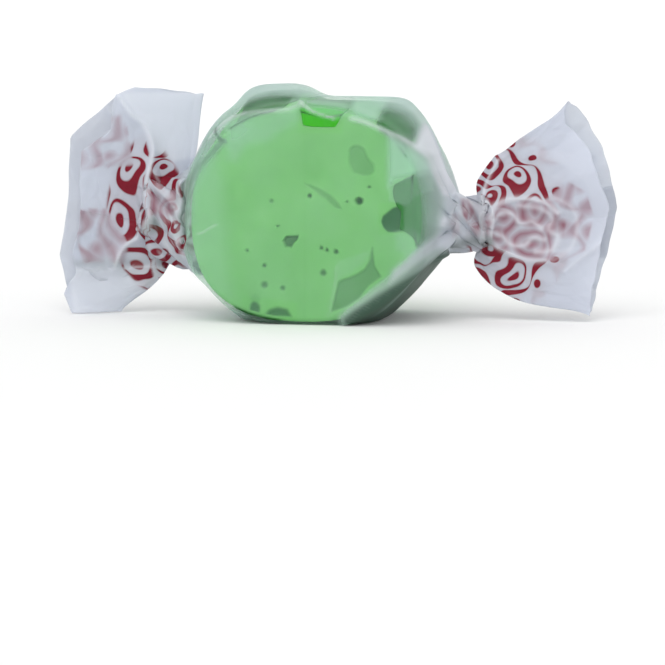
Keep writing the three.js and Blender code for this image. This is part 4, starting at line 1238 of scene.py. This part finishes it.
def make_jelly(name, stripe, material, bright):
    """One stripe: it fills its groove, out to the rim of the slice."""
    half = 48
    low, high = stripe["side"][0][0] - 0.2, stripe["side"][-1][0] + 0.2
    there = np.linspace(low, high, half)

    def section(share, taken_in, y):
        sway = stripe_turn(stripe, y)
        outer_turn = np.radians(there + sway)
        side = slice_reach(outer_turn, y)
        outer = side - taken_in
        depth = np.maximum(0.02, groove(stripe, there, y) - jelly_clearance)
        inner = side - depth
        outer = np.maximum(outer, inner + 0.01)
        reach = np.concatenate([outer, inner[::-1]])
        turn = np.concatenate([outer_turn, outer_turn[::-1]])
        x = reach * np.sin(turn)
        z = np.maximum(centre_height + reach * np.cos(turn), flat_below)
        mid_turn = np.radians((low + high) / 2 + sway)
        mid_reach = slice_reach(mid_turn, y) - 0.5 * groove(stripe, (low + high) / 2, y)
        mx, mz = mid_reach * np.sin(mid_turn), centre_height + mid_reach * np.cos(mid_turn)
        x, z = mix(mx, x, share), mix(mz, z, share)
        ring = np.stack([x, np.full(2 * half, y), z], 1)
        return ring, np.array([mx, y, mz])

    made = lofted(name + "_stripe", section_profile(14, 34), section, 2 * half)
    y = np.array([v.co.y for v in made.data.vertices]) / MM
    put_attribute(made, "thin", bright * smoothstep(-y, slice_depth / 2 - thin_from, slice_depth / 2 - 0.3))
    made.data.materials.append(material)
    return made


def print_places(points, front, pink):
    """Where each point lies on the printed border: how far out, how far round at the loops' own reach, and
    how much of the border is there."""
    x, z = points[..., 0], points[..., 2]
    out, turn, there = np.zeros((3, *x.shape))
    for fan in (right_fan, left_fan):
        px, pz = fan["print_centre"]
        here = fan["side"] * x > 0
        away = fan["side"] * (x - px)
        out = np.where(here, np.hypot(away, z - pz), out)
        turn = np.where(here, np.arctan2(z - pz, away), turn)
        degrees = np.degrees(turn)
        low, high = fan["print_from"], fan["print_to"]
        within = between(degrees, (low - print_soft, low), (high, high + print_soft))
        within = within * (1 - smoothstep(out, print_end, print_end + 0.4))
        within = within * smoothstep(away, fan["print_start"], fan["print_start"] + 0.6)
        there = np.where(here, np.maximum(within, pink), there)
    round_there = turn * loop_row + np.where(front, 0, back_print_shift)
    # The ridge of the left fan takes in some paper, so the print jumps there
    ridge_z, ridge_x = zip(*sorted((pz, px) for px, pz in left_ridge))
    beyond = (x < 0) & front & (x < np.interp(z, ridge_z, ridge_x))
    off_ridge = np.where(front, smoothstep(distance_to_path(x, z, left_ridge), 0.1, 0.35), 1)
    return out + ridge_takes[0] * beyond, round_there + ridge_takes[1] * beyond, there * off_ridge


def make_paper(material):
    """The sheet: rolled round the taffy, twisted into two necks and opened into two fans. It is kept as
    four pieces that meet where the fans begin and in the middle of the taffy."""
    points, turned = paper_grid()
    rows = points.shape[0]
    fan = (np.arange(rows) <= fan_rows) | (np.arange(rows) >= rows - fan_rows - 1)
    fan = np.repeat(fan[:, None], columns + 1, axis=1)
    points = soothed(points)
    normal = grid_normals(points)
    gap = taffy_gap(points)
    points, milky, dark = fold_sheet(points, normal)
    normal = grid_normals(points)
    share = np.linspace(1, 0, columns + 1)[None, :]
    points = points + normal * np.where(fan, 0, layer_lift * share)[..., None]
    floor_room = floor_gap + layer_lift * (1 - share)
    points[..., 2] = np.maximum(points[..., 2], floor_room)
    inner = points - normal * paper_wall
    inner[..., 2] = np.maximum(inner[..., 2], floor_room + inner_lift)

    x, _, z = np.moveaxis(points, -1, 0)
    front = np.cos(turned) > 0
    # Painted light: the colour is made paler on the milky creases and in the zones listed for it
    pale = milky
    for outline in painted_light_zones:
        pale = np.maximum(pale, inside_outline(x, z, outline, 0.3) * front)
    pink, strength = np.zeros((2, *x.shape))
    for strong, outline in pink_zones:
        there = inside_outline(x, z, outline, 0.2) * front
        pink = np.maximum(pink, there)
        strength = np.maximum(strength, there * strong)
    out, round_there, printed = print_places(points, front, pink)
    printed = printed * (abs(x) > print_beyond) * mix(1, strength, pink)
    # Painted shade on the back layers of the fans
    dark = np.maximum(dark, np.where(fan & ~front, back_layer_dark, 0))

    middle = points[:, columns // 2]
    along = np.cumsum(np.linalg.norm(np.diff(middle, axis=0, prepend=middle[:1]), axis=1))
    round_tube = sheet_angles() * half_height
    flat = np.stack(np.broadcast_arrays(along[:, None], round_tube[None, :], 0 * x), axis=-1)
    clear, near = clearness(points, gap, fan, milky)
    free = np.clip(taffy_gap(points) / crumple_gap, crumple_least, 1)
    free = free * mix(crumple_body, 1, smoothstep(abs(x), *crumple_x))
    # In the colour, crest is in part a painted highlight, pale is painted light, near a painted green glow,
    # and dark painted shade
    grids = {
        "hidden": pink, "clear": np.sqrt(clear), "printed": printed, "dark": dark, "near": near,
        "crest": milky, "pale": pale, "free": free, "flat": flat, "outward": normal,
    }
    printing = np.stack([out, round_there], axis=-1)
    made = []
    for name, first, last in (
        ("paper_fan_right", 0, fan_rows),
        ("paper_body_right", fan_rows, rows // 2),
        ("paper_body_left", rows // 2, rows - fan_rows - 1),
        ("paper_fan_left", rows - fan_rows - 1, rows - 1),
    ):
        these = slice(first, last + 1)
        across = columns + 1
        both_skins = np.concatenate([points[these].reshape(-1, 3), inner[these].reshape(-1, 3)])
        wall_faces = 2 * (last - first + across - 1)
        piece = make_object(name, both_skins, shell_faces(last - first + 1, across), wall_faces)
        for label, grid in grids.items():
            skin = grid[these].reshape(-1, *grid.shape[2:])
            inside = np.ones_like(skin) if label == "hidden" else skin
            put_attribute(piece, label, np.concatenate([skin, inside]))
        put_uv(piece, "sheet", np.concatenate([flat[these].reshape(-1, 3)[:, :2]] * 2))
        put_uv(piece, "print", np.concatenate([printing[these].reshape(-1, 2)] * 2))
        shape_with(piece, crinkle_tree(material), {"Facet Size": 3.2, "Height": 0.35 * MM, "Seed": 3.0})
        made.append(piece)
    return made


def floor_material():
    """Matt white card, sprayed: soft and plain."""
    material, tree = new_material("matt_white_card")
    place = add(tree, "ShaderNodeTexCoord").outputs["Object"]
    tooth = add(tree, "ShaderNodeTexNoise", {"Vector": place, "Scale": 900.0})
    bump = add(tree, "ShaderNodeBump", {"Height": tooth, "Strength": 0.05, "Distance": 0.0001})
    card = add(tree, "ShaderNodeBsdfPrincipled",
               {"Base Color": linear("#f4f4f4"), "Roughness": 0.9, "Normal": bump})
    add(tree, "ShaderNodeOutputMaterial", {0: card})
    return material


def make_floor():
    """A round floor that curves up into a low wall all round."""
    around = 96
    flat_to, curve = 700, 300
    profile = [(r, 0.0) for r in np.linspace(0, flat_to, 8)[1:]]
    for angle in np.linspace(0, np.pi / 2, 13)[1:]:
        profile.append((flat_to + curve * np.sin(angle), curve * (1 - np.cos(angle))))
    angle = np.linspace(0, 2 * np.pi, around, endpoint=False)
    rings = [np.stack([r * np.cos(angle), r * np.sin(angle), np.full(around, h)], 1) for r, h in profile]
    points = np.concatenate([[[0, 0, 0]], *rings])
    j = np.arange(around)
    following = (j + 1) % around
    faces = [[0, 1 + int(a), 1 + int(b)] for a, b in zip(j, following)]
    for row in range(1, 1 + (len(rings) - 1) * around, around):
        a, b = row + j, row + following
        faces += np.stack([a, a + around, b + around, b], 1).tolist()
    floor = make_object("floor", points, faces)
    floor.data.materials.append(floor_material())


def facing(place, back):
    """The matrix of a camera or light at a place, looking the opposite way from back."""
    side = np.cross([0, 0, 1], back)
    side = side / np.linalg.norm(side)
    top = np.cross(back, side)
    matrix = np.eye(4)
    matrix[:3, 0], matrix[:3, 1], matrix[:3, 2], matrix[:3, 3] = side, top, back, place
    return Matrix(matrix.tolist())


def make_camera():
    data = bpy.data.cameras.new("camera")
    camera = bpy.data.objects.new("camera", data)
    bpy.context.scene.collection.objects.link(camera)
    bpy.context.scene.camera = camera
    a, e = np.radians(camera_azimuth), np.radians(camera_elevation)
    back = np.array([np.sin(a) * np.cos(e), -np.cos(a) * np.cos(e), np.sin(e)])
    side = np.array([np.cos(a), np.sin(a), 0])
    top = np.cross(back, side)
    pixel = frame_width_mm / frame_pixels
    aim = np.array([0, 0, centre_height]) + pixel * (aim_pixels[0] * side + aim_pixels[1] * top)
    data.sensor_width = 36
    data.lens = 36 * camera_distance / frame_width_mm
    data.clip_start, data.clip_end = 0.01, 5
    camera.matrix_world = facing((aim + back * camera_distance) * MM, back)


def make_light():
    world = bpy.data.worlds.new("studio")
    world.use_nodes = True
    world.node_tree.nodes["Background"].inputs["Color"].default_value = (1, 1, 1, 1)
    world.node_tree.nodes["Background"].inputs["Strength"].default_value = 0.85
    bpy.context.scene.world = world
    key = bpy.data.lights.new("key", "SUN")
    key.energy = 1.1
    key.angle = np.radians(50)
    light = bpy.data.objects.new("key", key)
    bpy.context.scene.collection.objects.link(light)
    toward = np.array([0.0, -0.65, 0.8])
    light.matrix_world = facing(toward, toward / np.linalg.norm(toward))
    bpy.context.scene.view_settings.view_transform = "Standard"


def finish_piece(made, slot, *nodes):
    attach(made, "root")
    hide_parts(*nodes)


make_camera()
make_light()
make_floor()
jelly_look = jelly_material()
for node, stripe in jelly_stripes.items():
    bright = 1.0 if node == "jelly_top" else dull_brightness
    finish_piece(make_jelly(node, stripe, jelly_look, bright), jelly_slot, node)
finish_piece(make_taffy(taffy_material()), taffy_slot, "taffy")
for piece in make_paper(wax_paper_material()):
    finish_piece(piece, paper_slot, "wrapper")
